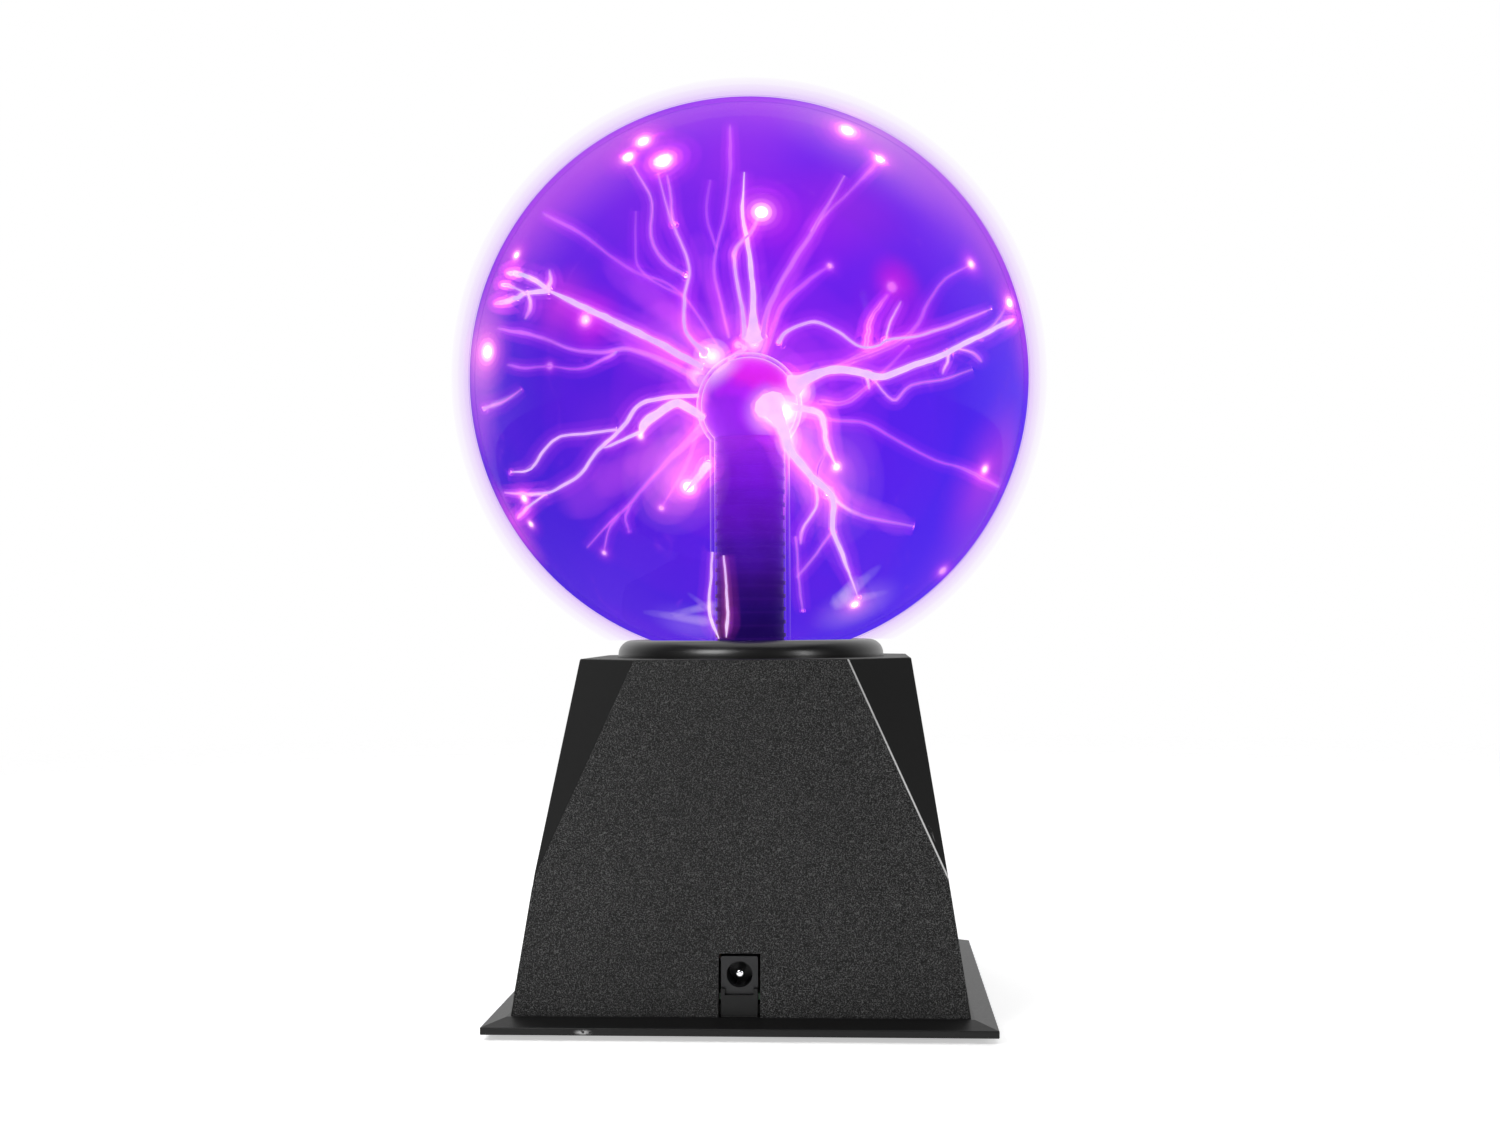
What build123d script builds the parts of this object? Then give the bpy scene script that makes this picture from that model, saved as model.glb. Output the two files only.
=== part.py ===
from build123d import *
import os
from math import atan, cos, degrees, radians, sin, sqrt, tan

# A desk plasma ball: a gas-filled glass globe with a re-entrant glass stem, standing in a collar
# on a tapered square housing that holds the high-voltage driver board.
# Millimetres, +Z up, the table at z = 0, the globe's axis on the Z axis.
# The inlet for the power plug is on the -Y side and the slide switch on the +Y side.

# ---------------------------------------------------------------- driving dimensions

# Feet and base plate
foot_diameter = 8.0
foot_thickness = 2.0
foot_recess_depth = 0.5
foot_inset = 11.0
plate_ledge = 0.75
plate_edge_height = 1.75
plate_bevel_rise = 1.5
plate_bevel_run = 5.4
plate_edge_round = 0.25
lip_height = 2.5
lip_thickness = 1.5
lip_clearance = 0.3

# Housing
housing_bottom_width = 109.7
housing_top_width = 84.4
housing_height = 84.65
housing_wall = 2.5
facet_cut = 15.8
facet_apex_rise = 32.3
housing_edge_round = 0.5
boss_diameter = 8.0
boss_height = 30.0
boss_inset = 10.85
boss_rib_thickness = 2.0
boss_rib_bottom_gap = 4.0

# Globe and its glass stem
globe_diameter = 150.0
globe_wall = 1.6
globe_sink = 0.9
neck_gap = 6.2
neck_wall = 1.6
neck_length = 20.0
neck_blend_radius = 2.5
stem_diameter = 21.6
stem_wall = 1.2
stem_flare_thickness = 1.6
bulb_diameter = 28.6
bulb_wall = 1.2
bulb_drop = 6.5
pump_tip_diameter = 4.0
pump_tip_length = 7.0

# Electrode inside the stem
sleeve_clearance = 0.15
sleeve_wall = 0.6
sleeve_rib_height = 0.5
sleeve_rib_width = 1.0
sleeve_rib_pitch = 3.5
electrode_cap_wall = 0.5
electrode_cap_clearance = 0.2
contact_rod_diameter = 2.0
plug_depth = 6.0
plug_flange_overlap = 0.7
plug_flange_thickness = 3.0
plug_clearance = 0.15

# Collar and the seat of the globe
collar_rim_width = 5.48
collar_height = 4.5
collar_edge_round = 3.8
collar_inner_edge_round = 0.3
collar_hole_margin = 2.0
gasket_thickness = 0.7
gasket_inner_setback = 1.0
gasket_outer_setback = 3.0
seat_gap = 0.05
sealant_thickness = 3.0
sealant_height = 9.0
neck_sleeve_wall = 2.0
neck_sleeve_length = 15.0
collar_screw_inset = 4.5
collar_screw_count = 4
collar_screw_bite = 2.6

# Fasteners
base_screw_diameter = 3.0
base_screw_length = 12.0
base_screw_head_diameter = 5.6
base_screw_head_height = 1.7
board_screw_diameter = 2.5
board_screw_length = 6.0
board_screw_head_diameter = 4.8
board_screw_head_height = 1.6
collar_screw_diameter = 2.5
collar_screw_head_diameter = 4.8
collar_screw_head_height = 1.6
switch_screw_diameter = 2.0
switch_screw_length = 5.0
switch_screw_head_diameter = 3.8
switch_screw_head_height = 1.2
screw_clearance = 0.2
thread_gap = 0.05
head_clearance = 0.3
screw_tip_gap = 0.6

# Power inlet
inlet_center_rise = 9.75
inlet_body_width = 8.8
inlet_body_height = 9.0
inlet_body_length = 14.0
inlet_body_above_center = 4.3
inlet_hole_diameter = 6.2
inlet_hole_depth = 9.5
inlet_pin_diameter = 2.1
inlet_pin_length = 8.6
inlet_recess = 0.6
inlet_contact_thickness = 0.3
inlet_contact_width = 2.4
slot_side_gap = 0.6
slot_top_gap = 0.6
tongue_thickness = 1.1
tongue_notch_width = 6.8
tongue_ear_height = 1.5
tongue_gap = 0.1

# Slide switch, in the frame of the +Y wall: its centre rise above the plate and its sizes
switch_rise = 13.25
switch_travel = 4.0
switch_rim_width = 15.0
switch_rim_height = 6.8
switch_rim_depth = 0.8
knob_width = 4.0
knob_height = 2.8
knob_stand = 2.2
knob_side_gap = 0.3
knob_rib_count = 3
knob_rib_width = 0.5
knob_rib_height = 0.35
slider_width = 7.6
slider_height = 4.6
slider_thickness = 2.4
slider_gap = 0.1
switch_can_width = 13.0
switch_can_height = 6.2
switch_can_depth = 4.0
switch_sheet = 0.4
switch_ear_span = 24.0
switch_hole_span = 19.0
switch_base_thickness = 1.2
switch_base_gap = 0.05
terminal_count = 4
terminal_pitch = 3.0
terminal_width = 1.0
terminal_thickness = 0.4
terminal_length = 3.6

# Driver board and what stands on it
board_boss_gap = 4.0
board_length = 78.0
board_thickness = 1.6
board_wall_gap = 0.4
board_hole_inset = 3.5
standoff_diameter = 6.0
core_width = 28.0
core_height = 25.0
core_depth = 8.0
core_outer_leg = 4.0
core_center_leg = 7.0
core_rise = 2.0
core_from_edge = 22.0
core_from_front = 45.5
bobbin_wall = 1.0
bobbin_gap = 0.1
bobbin_flange_depth = 22.0
bobbin_flange_thickness = 1.2
winding_margin = 1.0
heatsink_width = 24.0
heatsink_depth = 12.0
heatsink_height = 26.0
heatsink_web = 1.6
heatsink_fin_count = 5
heatsink_from_edge = 16.0
heatsink_from_front = 65.5
transistor_width = 10.0
transistor_depth = 4.4
transistor_height = 15.6
transistor_rise = 4.0
transistor_lead_pitch = 2.54
transistor_lead_width = 0.8
capacitor_diameter = 10.0
capacitor_height = 16.0
capacitor_from_edge = 12.0
capacitors_from_front = (21.0, 35.0)
film_width = 13.0
film_depth = 5.0
film_height = 10.0
film_from_edge = 30.0
film_from_front = 17.5
chip_width = 9.4
chip_depth = 6.4
chip_height = 3.3
chip_from_edge = 28.0
chip_from_front = 21.0
resistor_diameter = 2.4
resistor_length = 6.4
resistor_lead_diameter = 0.6
resistor_lead_reach = 1.8
left_resistors_from_edge = 28.0
left_resistors_from_front = (31.0, 36.0, 41.0)
right_resistors_from_edge = 10.0
right_resistors_from_front = (17.0, 22.0)
microphone_diameter = 9.6
microphone_height = 6.0
microphone_port_diameter = 2.0
microphone_port_depth = 1.0
microphone_from_edge = 9.0
microphone_from_front = 67.5

# Wires held inside
lead_diameter = 2.6
lead_reach = 7.0
lead_last_rise = 8.0
wire_diameter = 1.0
wire_rise = 7.0
wire_reach = 5.0
wires_from_back = 3.0

# ---------------------------------------------------------------- places that follow

plate_width = housing_bottom_width + 2 * (plate_ledge + plate_bevel_run)
foot_offset = plate_width / 2 - foot_inset
boss_offset = housing_bottom_width / 2 - boss_inset
board_width = 2 * (boss_offset - boss_diameter / 2 - board_boss_gap)
plate_bottom_z = foot_thickness - foot_recess_depth
plate_top_z = plate_bottom_z + plate_edge_height + plate_bevel_rise
housing_top_z = plate_top_z + housing_height
housing_slope = (housing_bottom_width - housing_top_width) / 2 / housing_height
housing_lean = degrees(atan(housing_slope))
wall_across = housing_wall / cos(radians(housing_lean))
globe_radius = globe_diameter / 2
globe_center_z = housing_top_z - globe_sink + globe_radius
neck_radius = stem_diameter / 2 + neck_gap
neck_bottom_z = globe_center_z - sqrt(globe_radius**2 - neck_radius**2) - neck_length
stem_radius = stem_diameter / 2
stem_inner_radius = stem_radius - stem_wall
stem_bottom_z = neck_bottom_z - stem_flare_thickness
bulb_center_z = globe_center_z - bulb_drop
bulb_radius = bulb_diameter / 2
electrode_cap_radius = bulb_radius - bulb_wall - electrode_cap_clearance
sleeve_radius = stem_inner_radius - sleeve_clearance
sleeve_top_z = bulb_center_z - sqrt(electrode_cap_radius**2 - sleeve_radius**2) - sleeve_clearance
collar_top_z = housing_top_z + collar_height
dish_radius = globe_radius + seat_gap + gasket_thickness + seat_gap
dish_edge_radius = sqrt(dish_radius**2 - (globe_center_z - collar_top_z) ** 2)
collar_radius = dish_edge_radius + collar_rim_width
neck_hole_radius = neck_radius + sealant_thickness
collar_hole_radius = neck_hole_radius + collar_hole_margin
board_top_z = plate_top_z + inlet_center_rise + inlet_body_above_center - inlet_body_height
board_bottom_z = board_top_z - board_thickness
inlet_center_z = plate_top_z + inlet_center_rise
switch_z = plate_top_z + switch_rise


def face_half_width(z):
    """Half the housing's outer width at height z."""
    return housing_bottom_width / 2 - housing_slope * (z - plate_top_z)


inlet_face_y = -(face_half_width(inlet_center_z) - inlet_recess)
board_front_y = -(face_half_width(board_top_z) - wall_across - board_wall_gap)
slot_top_z = inlet_center_z + inlet_body_above_center + slot_top_gap
core_x = board_width / 2 - core_from_edge
core_y = board_front_y + core_from_front
heatsink_x = heatsink_from_edge - board_width / 2
heatsink_y = board_front_y + heatsink_from_front

# ---------------------------------------------------------------- shared shapes


def corners(reach):
    """The four corners of a square centred on the Z axis."""
    return [(x * reach, y * reach) for x in (-1, 1) for y in (-1, 1)]


def rod(x, y, bottom, top, radius):
    """An upright cylinder."""
    upright = Cylinder(radius, top - bottom, align=(Align.CENTER, Align.CENTER, Align.MIN))
    return Pos(x, y, bottom) * upright


def block(x, y, bottom, width, depth, height):
    """A box standing on a height, centred in x and y."""
    box = Box(width, depth, height, align=(Align.CENTER, Align.CENTER, Align.MIN))
    return Pos(x, y, bottom) * box


def frustum(bottom_half, top_half, bottom, top):
    """A square pyramid cut off at the top."""
    low = [(x, y, bottom) for x, y in corners(bottom_half)]
    high = [(x, y, top) for x, y in corners(top_half)]
    return ConvexPolyhedron(low + high)


def screw(diameter, length, head_diameter, head_height):
    """A pan-head screw hanging down from its head's underside at the origin."""
    shank = rod(0, 0, -length, 0, diameter / 2)
    head = rod(0, 0, 0, head_height, head_diameter / 2)
    head = fillet(head.edges().sort_by(Axis.Z)[-1], head_height * 0.45)
    slot = block(0, 0, head_height * 0.5, head_diameter * 0.62, head_diameter * 0.16, head_height)
    return shank + head - slot - Rot(0, 0, 90) * slot


def group(pieces):
    """Separate solids kept together in one node."""
    return Compound(children=[solid for piece in pieces for solid in piece.solids()])


def tube_along(points, radius, bend_radii):
    """A round wire along straight runs joined by tangent arcs."""
    path = FilletPolyline(*points, radius=bend_radii)
    start = Plane(origin=path @ 0, z_dir=path % 0)
    return sweep(start * Circle(radius), path=path)


# ---------------------------------------------------------------- feet and base plate


def make_feet():
    feet = []
    for x, y in corners(foot_offset):
        foot = rod(x, y, 0, foot_thickness, foot_diameter / 2)
        feet.append(fillet(foot.edges().sort_by(Axis.Z)[0], foot_thickness * 0.25))
    return group(feet)


def board_holes():
    """Centres of the board's four screw holes."""
    x = board_width / 2 - board_hole_inset
    front = board_front_y + board_hole_inset
    back = board_front_y + board_length - board_hole_inset
    return [(side * x, y) for side in (-1, 1) for y in (front, back)]


def make_base_plate():
    half = plate_width / 2
    edge_top = plate_bottom_z + plate_edge_height
    plate = block(0, 0, plate_bottom_z, plate_width, plate_width, plate_edge_height)
    plate += frustum(half, half - plate_bevel_run, edge_top, plate_top_z)
    plate = fillet(plate.edges(), plate_edge_round)
    lip_half = face_half_width(plate_top_z + lip_height) - wall_across - lip_clearance
    lip = block(0, 0, plate_top_z, 2 * lip_half, 2 * lip_half, lip_height)
    lip_inner = 2 * (lip_half - lip_thickness)
    plate += lip - block(0, 0, plate_top_z, lip_inner, lip_inner, lip_height)
    plate += make_tongue()
    for x, y in board_holes():
        plate += rod(x, y, plate_top_z, board_bottom_z, standoff_diameter / 2)
        hole_bottom = board_top_z - board_screw_length - screw_tip_gap
        plate -= rod(x, y, hole_bottom, board_bottom_z, board_screw_diameter / 2 + thread_gap)
    for x, y in corners(boss_offset):
        head_top = plate_bottom_z + base_screw_head_height
        plate -= rod(x, y, plate_bottom_z, head_top, base_screw_head_diameter / 2 + head_clearance)
        plate -= rod(x, y, head_top, plate_top_z, base_screw_diameter / 2 + screw_clearance)
    for x, y in corners(foot_offset):
        plate -= rod(x, y, plate_bottom_z, foot_thickness, foot_diameter / 2 + screw_clearance)
    return plate


def make_tongue():
    """The upright strip that closes the housing's slot below the inlet."""
    notch_z = inlet_center_z + inlet_body_above_center - inlet_body_height
    ear_top = notch_z + tongue_ear_height
    y = inlet_face_y - tongue_gap - tongue_thickness / 2
    tongue = block(0, y, plate_top_z, inlet_body_width, tongue_thickness, ear_top - plate_top_z)
    return tongue - block(0, y, notch_z, tongue_notch_width, 2 * tongue_thickness, ear_top)


def make_base_screws():
    head_seat = plate_bottom_z + base_screw_head_height
    one = Rot(180, 0, 0) * screw(
        base_screw_diameter, base_screw_length, base_screw_head_diameter, base_screw_head_height
    )
    return group([Pos(x, y, head_seat) * one for x, y in corners(boss_offset)])


# ---------------------------------------------------------------- housing


def facet_cutter(inset):
    """Half-space outside one corner facet, moved inwards by the inset."""
    apex_z = plate_top_z + facet_apex_rise
    apex = face_half_width(apex_z)
    middle = housing_top_width / 2 - facet_cut / 2
    rise = housing_top_z - apex_z
    normal = Vector(rise, rise, 2 * (apex - middle)).normalized()
    face = Plane(origin=Vector(apex, apex, apex_z) - normal * inset, x_dir=(1, -1, 0), z_dir=normal)
    reach = 2 * (housing_bottom_width + housing_height)
    return face * Box(reach, reach, housing_bottom_width, align=(Align.CENTER, Align.CENTER, Align.MIN))


def faceted_body(inset, top):
    """The housing's outline, all walls moved inwards by the inset, up to the given height."""
    across = inset / cos(radians(housing_lean))
    low = face_half_width(plate_top_z) - across
    body = frustum(low, face_half_width(top) - across, plate_top_z, top)
    cutter = facet_cutter(inset)
    for turn in range(4):
        body -= Rot(0, 0, 90 * turn) * cutter
    return body


def collar_screw_spots():
    step = 360 / collar_screw_count
    angles = [radians(45 + step * i) for i in range(collar_screw_count)]
    reach = collar_radius - collar_screw_inset
    return [(reach * cos(a), reach * sin(a)) for a in angles]


def switch_frame_of_wall():
    """Plane on the +Y wall's outer face at the switch: local z points out, local x along +X."""
    lean = radians(housing_lean)
    origin = (0, face_half_width(switch_z), switch_z)
    return Plane(origin=origin, x_dir=(1, 0, 0), z_dir=(0, cos(lean), sin(lean)))


def make_housing():
    outline = faceted_body(0, housing_top_z)
    outer = fillet(outline.edges().filter_by(lambda e: e.center().Z > plate_top_z + 1), housing_edge_round)
    housing = outer - faceted_body(housing_wall, housing_top_z - housing_wall)
    boss_top = plate_top_z + boss_height
    for turn in range(4):
        boss = rod(boss_offset, boss_offset, plate_top_z, boss_top, boss_diameter / 2)
        rib_length = 2 * (face_half_width(plate_top_z) - boss_offset)
        rib_bottom = plate_top_z + boss_rib_bottom_gap
        rib = block(rib_length / 2, 0, rib_bottom, rib_length, boss_rib_thickness, boss_top - rib_bottom)
        boss += Pos(boss_offset, boss_offset, 0) * Rot(0, 0, 45) * rib
        housing += Rot(0, 0, 90 * turn) * (boss & outline)
    pilot = base_screw_length + screw_tip_gap - (plate_top_z - plate_bottom_z - base_screw_head_height)
    for x, y in corners(boss_offset):
        pilot_radius = base_screw_diameter / 2 + thread_gap
        housing -= rod(x, y, plate_top_z, plate_top_z + pilot, pilot_radius)
    sleeve_bottom = housing_top_z - housing_wall - neck_sleeve_length
    housing += rod(0, 0, sleeve_bottom, housing_top_z - housing_wall, neck_hole_radius + neck_sleeve_wall)
    housing -= rod(0, 0, sleeve_bottom, housing_top_z, neck_hole_radius)
    for x, y in collar_screw_spots():
        hole_radius = collar_screw_diameter / 2 + screw_clearance
        housing -= rod(x, y, housing_top_z - housing_wall, housing_top_z, hole_radius)
    slot_width = inlet_body_width + 2 * slot_side_gap
    slot_height = slot_top_z - plate_top_z
    slot_depth = 2 * (housing_slope * slot_height + 2 * wall_across)
    housing -= block(0, -face_half_width(plate_top_z), plate_top_z, slot_width, slot_depth, slot_height)
    return housing - make_switch_cuts()


def make_switch_cuts():
    """The shallow rim, the knob's slot and the two screw holes in the +Y wall."""
    rim = Box(switch_rim_width, switch_rim_height, 2 * switch_rim_depth)
    slot_length = knob_width + switch_travel + 2 * knob_side_gap
    slot = Box(slot_length, knob_height + 2 * knob_side_gap, 4 * housing_wall)
    cuts = rim + slot
    for side in (-1, 1):
        hole = Cylinder(switch_screw_diameter / 2 + screw_clearance / 2, 4 * housing_wall)
        cuts += Pos(side * switch_hole_span / 2, 0, 0) * hole
    return switch_frame_of_wall() * cuts


# ---------------------------------------------------------------- collar and seat


def make_collar():
    collar = rod(0, 0, housing_top_z, collar_top_z, collar_radius)
    collar = fillet(collar.edges().sort_by(Axis.Z)[-1], collar_edge_round)
    collar -= Pos(0, 0, globe_center_z) * Sphere(dish_radius)
    collar = fillet(collar.edges().sort_by(Axis.Z)[-1], collar_inner_edge_round)
    collar -= rod(0, 0, housing_top_z, collar_top_z, collar_hole_radius)
    for x, y in collar_screw_spots():
        tip = housing_top_z + collar_screw_bite + screw_tip_gap / 2
        collar -= rod(x, y, housing_top_z, tip, collar_screw_diameter / 2 + thread_gap)
    return collar


def make_gasket():
    outer = Pos(0, 0, globe_center_z) * Sphere(dish_radius - seat_gap)
    inner = Pos(0, 0, globe_center_z) * Sphere(globe_radius + seat_gap)
    band = rod(0, 0, housing_top_z, collar_top_z, dish_edge_radius - gasket_outer_setback)
    band -= rod(0, 0, housing_top_z, collar_top_z, collar_hole_radius + gasket_inner_setback)
    return (band & outer) - inner


def make_collar_screws():
    length = housing_wall + collar_screw_bite
    one = Rot(180, 0, 0) * screw(
        collar_screw_diameter, length, collar_screw_head_diameter, collar_screw_head_height
    )
    seat = housing_top_z - housing_wall
    return group([Pos(x, y, seat) * one for x, y in collar_screw_spots()])


def make_sealant():
    top = housing_top_z - housing_wall
    ring = rod(0, 0, top - sealant_height, top, neck_hole_radius)
    return ring - rod(0, 0, top - sealant_height, top, neck_radius)


# ---------------------------------------------------------------- glass


def make_globe():
    ball = Pos(0, 0, globe_center_z) * Sphere(globe_radius)
    joint_z = globe_center_z - sqrt(globe_radius**2 - neck_radius**2)
    ball += rod(0, 0, neck_bottom_z, globe_center_z - globe_radius / 2, neck_radius)
    joint = ball.edges().filter_by(GeomType.CIRCLE).sort_by(lambda e: abs(e.center().Z - joint_z))[0]
    ball = fillet(joint, neck_blend_radius)
    hollow = Pos(0, 0, globe_center_z) * Sphere(globe_radius - globe_wall)
    bore_radius = neck_radius - neck_wall
    hollow += rod(0, 0, neck_bottom_z, globe_center_z - globe_radius / 2, bore_radius)
    return ball - hollow


def make_stem():
    outer = Pos(0, 0, bulb_center_z) * Sphere(bulb_radius)
    outer += rod(0, 0, stem_bottom_z, bulb_center_z, stem_radius)
    outer += rod(0, 0, stem_bottom_z, neck_bottom_z, neck_radius)
    inner = Pos(0, 0, bulb_center_z) * Sphere(bulb_radius - bulb_wall)
    inner += rod(0, 0, stem_bottom_z, bulb_center_z, stem_inner_radius)
    tip_x = (stem_radius + neck_radius) / 2
    tip = Cone(
        pump_tip_diameter / 8,
        pump_tip_diameter / 2,
        pump_tip_length,
        align=(Align.CENTER, Align.CENTER, Align.MAX),
    )
    return outer - inner + Pos(tip_x, 0, stem_bottom_z) * tip


# ---------------------------------------------------------------- electrode


def make_electrode_sleeve():
    """A dark metal tube with a rib around it at every pitch."""
    tube_radius = sleeve_radius - sleeve_rib_height
    bottom = stem_bottom_z + plug_depth
    sleeve = rod(0, 0, bottom, sleeve_top_z, tube_radius)
    count = int((sleeve_top_z - bottom) / sleeve_rib_pitch)
    for i in range(count):
        rib_bottom = sleeve_top_z - i * sleeve_rib_pitch - sleeve_rib_width
        sleeve += rod(0, 0, rib_bottom, rib_bottom + sleeve_rib_width, sleeve_radius)
    return sleeve - rod(0, 0, bottom, sleeve_top_z, tube_radius - sleeve_wall)


def make_electrode_cap():
    """A thin metal lining of the glass bulb, open at the bottom where the sleeve meets it."""
    center = Pos(0, 0, bulb_center_z)
    cap = center * Sphere(electrode_cap_radius)
    cap -= center * Sphere(electrode_cap_radius - electrode_cap_wall)
    return cap - rod(0, 0, stem_bottom_z, sleeve_top_z, bulb_radius)


def make_contact_rod():
    tip_z = bulb_center_z + electrode_cap_radius - electrode_cap_wall - 2 * seat_gap
    bottom = stem_bottom_z - plug_flange_thickness
    return rod(0, 0, bottom, tip_z, contact_rod_diameter / 2)


def make_stem_plug():
    plug = rod(0, 0, stem_bottom_z, stem_bottom_z + plug_depth, stem_inner_radius - plug_clearance)
    flange_bottom = stem_bottom_z - plug_flange_thickness
    plug += rod(0, 0, flange_bottom, stem_bottom_z, stem_radius + plug_flange_overlap)
    hole = rod(0, 0, flange_bottom, stem_bottom_z + plug_depth, contact_rod_diameter / 2 + thread_gap)
    return plug - hole


# ---------------------------------------------------------------- power inlet


def make_inlet_body():
    middle_y = inlet_face_y + inlet_body_length / 2
    body = block(0, middle_y, board_top_z, inlet_body_width, inlet_body_length, inlet_body_height)
    body = fillet(body.edges().filter_by(Axis.Y), 0.4)
    hole = rod(0, 0, 0, inlet_hole_depth, inlet_hole_diameter / 2)
    body -= Pos(0, inlet_face_y, inlet_center_z) * Rot(-90, 0, 0) * hole
    groove_top = inlet_center_z - inlet_hole_diameter / 4
    groove_bottom = inlet_center_z - inlet_hole_diameter / 2 - inlet_contact_thickness
    groove_y = inlet_face_y + 1.5 + inlet_hole_depth / 2
    groove_width = inlet_contact_width + 2 * thread_gap
    groove_height = groove_top - groove_bottom
    return body - block(0, groove_y, groove_bottom, groove_width, inlet_hole_depth - 3, groove_height)


def make_inlet_pin():
    start = inlet_hole_depth - inlet_pin_length
    pin = rod(0, 0, start, inlet_hole_depth, inlet_pin_diameter / 2)
    pin = fillet(pin.edges().sort_by(Axis.Z)[0], inlet_pin_diameter * 0.3)
    return Pos(0, inlet_face_y, inlet_center_z) * Rot(-90, 0, 0) * pin


def make_inlet_contact():
    """The springy strip under the pin, which the plug's barrel rubs on."""
    low = inlet_center_z - inlet_hole_diameter / 2 - inlet_contact_thickness
    length = inlet_hole_depth - 3 - 2 * thread_gap
    y = inlet_face_y + 1.5 + inlet_hole_depth / 2
    return block(0, y, low, inlet_contact_width, length, inlet_contact_thickness)


# ---------------------------------------------------------------- slide switch


def switch_piece(piece):
    return switch_frame_of_wall() * piece


def make_switch_bracket():
    """Sheet-steel can behind the wall with an ear at each end."""
    front = -housing_wall
    ears = Pos(0, 0, front - switch_sheet / 2) * Box(switch_ear_span, switch_can_height, switch_sheet)
    can_middle = front - switch_sheet - switch_can_depth / 2
    can = Pos(0, 0, can_middle) * Box(switch_can_width, switch_can_height, switch_can_depth)
    inner_width = switch_can_width - 2 * switch_sheet
    inner_height = switch_can_height - 2 * switch_sheet
    can -= Pos(0, 0, can_middle) * Box(inner_width, inner_height, switch_can_depth)
    bracket = ears + can
    window = knob_width + switch_travel + 2 * knob_side_gap
    bracket -= Pos(0, 0, front) * Box(window, knob_height + 2 * knob_side_gap, 4 * switch_sheet)
    for side in (-1, 1):
        hole = Cylinder(switch_screw_diameter / 2 + thread_gap, 4 * switch_sheet)
        bracket -= Pos(side * switch_hole_span / 2, 0, front) * hole
    return switch_piece(bracket)


def switch_base_center():
    back = -housing_wall - switch_sheet - switch_can_depth
    return back + switch_base_thickness / 2


def make_switch_base():
    width = switch_can_width - 2 * switch_sheet - 2 * switch_base_gap
    height = switch_can_height - 2 * switch_sheet - 2 * switch_base_gap
    base = Pos(0, 0, switch_base_center()) * Box(width, height, switch_base_thickness)
    for x in terminal_places():
        slot = Box(terminal_width + thread_gap, terminal_thickness + thread_gap, 4 * switch_base_thickness)
        base -= Pos(x, 0, switch_base_center()) * slot
    return switch_piece(base)


def terminal_places():
    first = -terminal_pitch * (terminal_count - 1) / 2
    return [first + terminal_pitch * i for i in range(terminal_count)]


def make_switch_terminals():
    top = switch_base_center() + switch_base_thickness / 2
    length = switch_base_thickness + terminal_length
    one = Pos(0, 0, top - length / 2) * Box(terminal_width, terminal_thickness, length)
    return group([switch_piece(Pos(x, 0, 0) * one) for x in terminal_places()])


def make_switch_knob():
    """The slider with its ribbed thumb piece, shown at the -X end of its travel."""
    slider_top = -housing_wall - switch_sheet - slider_gap
    slider = Pos(0, 0, slider_top - slider_thickness / 2) * Box(slider_width, slider_height, slider_thickness)
    stem_length = knob_stand - slider_top
    stem = Pos(0, 0, slider_top + stem_length / 2) * Box(knob_width, knob_height, stem_length)
    stem = chamfer(stem.faces().sort_by(Axis.Z)[-1].edges(), 0.3)
    rib_step = knob_width / (knob_rib_count + 1)
    knob = slider + stem
    for i in range(knob_rib_count):
        x = rib_step * (i + 1) - knob_width / 2
        rib = Box(knob_rib_width, knob_height * 0.75, 2 * knob_rib_height)
        knob += Pos(x, 0, knob_stand) * rib
    return switch_piece(Pos(-switch_travel / 2, 0, 0) * knob)


def make_switch_screws():
    one = screw(
        switch_screw_diameter, switch_screw_length, switch_screw_head_diameter, switch_screw_head_height
    )
    ends = (-switch_hole_span / 2, switch_hole_span / 2)
    return group([switch_piece(Pos(x, 0, 0) * one) for x in ends])


# ---------------------------------------------------------------- driver board


def make_board():
    middle_y = board_front_y + board_length / 2
    board = block(0, middle_y, board_bottom_z, board_width, board_length, board_thickness)
    for x, y in board_holes():
        board -= rod(x, y, board_bottom_z, board_top_z, board_screw_diameter / 2 + screw_clearance)
    return board


def make_board_screws():
    one = screw(
        board_screw_diameter, board_screw_length, board_screw_head_diameter, board_screw_head_height
    )
    return group([Pos(x, y, board_top_z) * one for x, y in board_holes()])


def core_window():
    """Width and height of each of the core's two windows."""
    width = (core_width - core_center_leg - 2 * core_outer_leg) / 2
    return width, core_height - 2 * core_outer_leg


def make_core():
    bottom = board_top_z + core_rise
    core = block(core_x, core_y, bottom, core_width, core_depth, core_height)
    width, height = core_window()
    reach = (core_center_leg + width) / 2
    for side in (-1, 1):
        x = core_x + side * reach
        core -= block(x, core_y, bottom + core_outer_leg, width, 2 * core_depth, height)
    return core


def bobbin_tube():
    """Inner and outer width and depth of the bobbin's tube around the centre leg."""
    inner = (core_center_leg + 2 * bobbin_gap, core_depth + 2 * bobbin_gap)
    return inner, (inner[0] + 2 * bobbin_wall, inner[1] + 2 * bobbin_wall)


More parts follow.
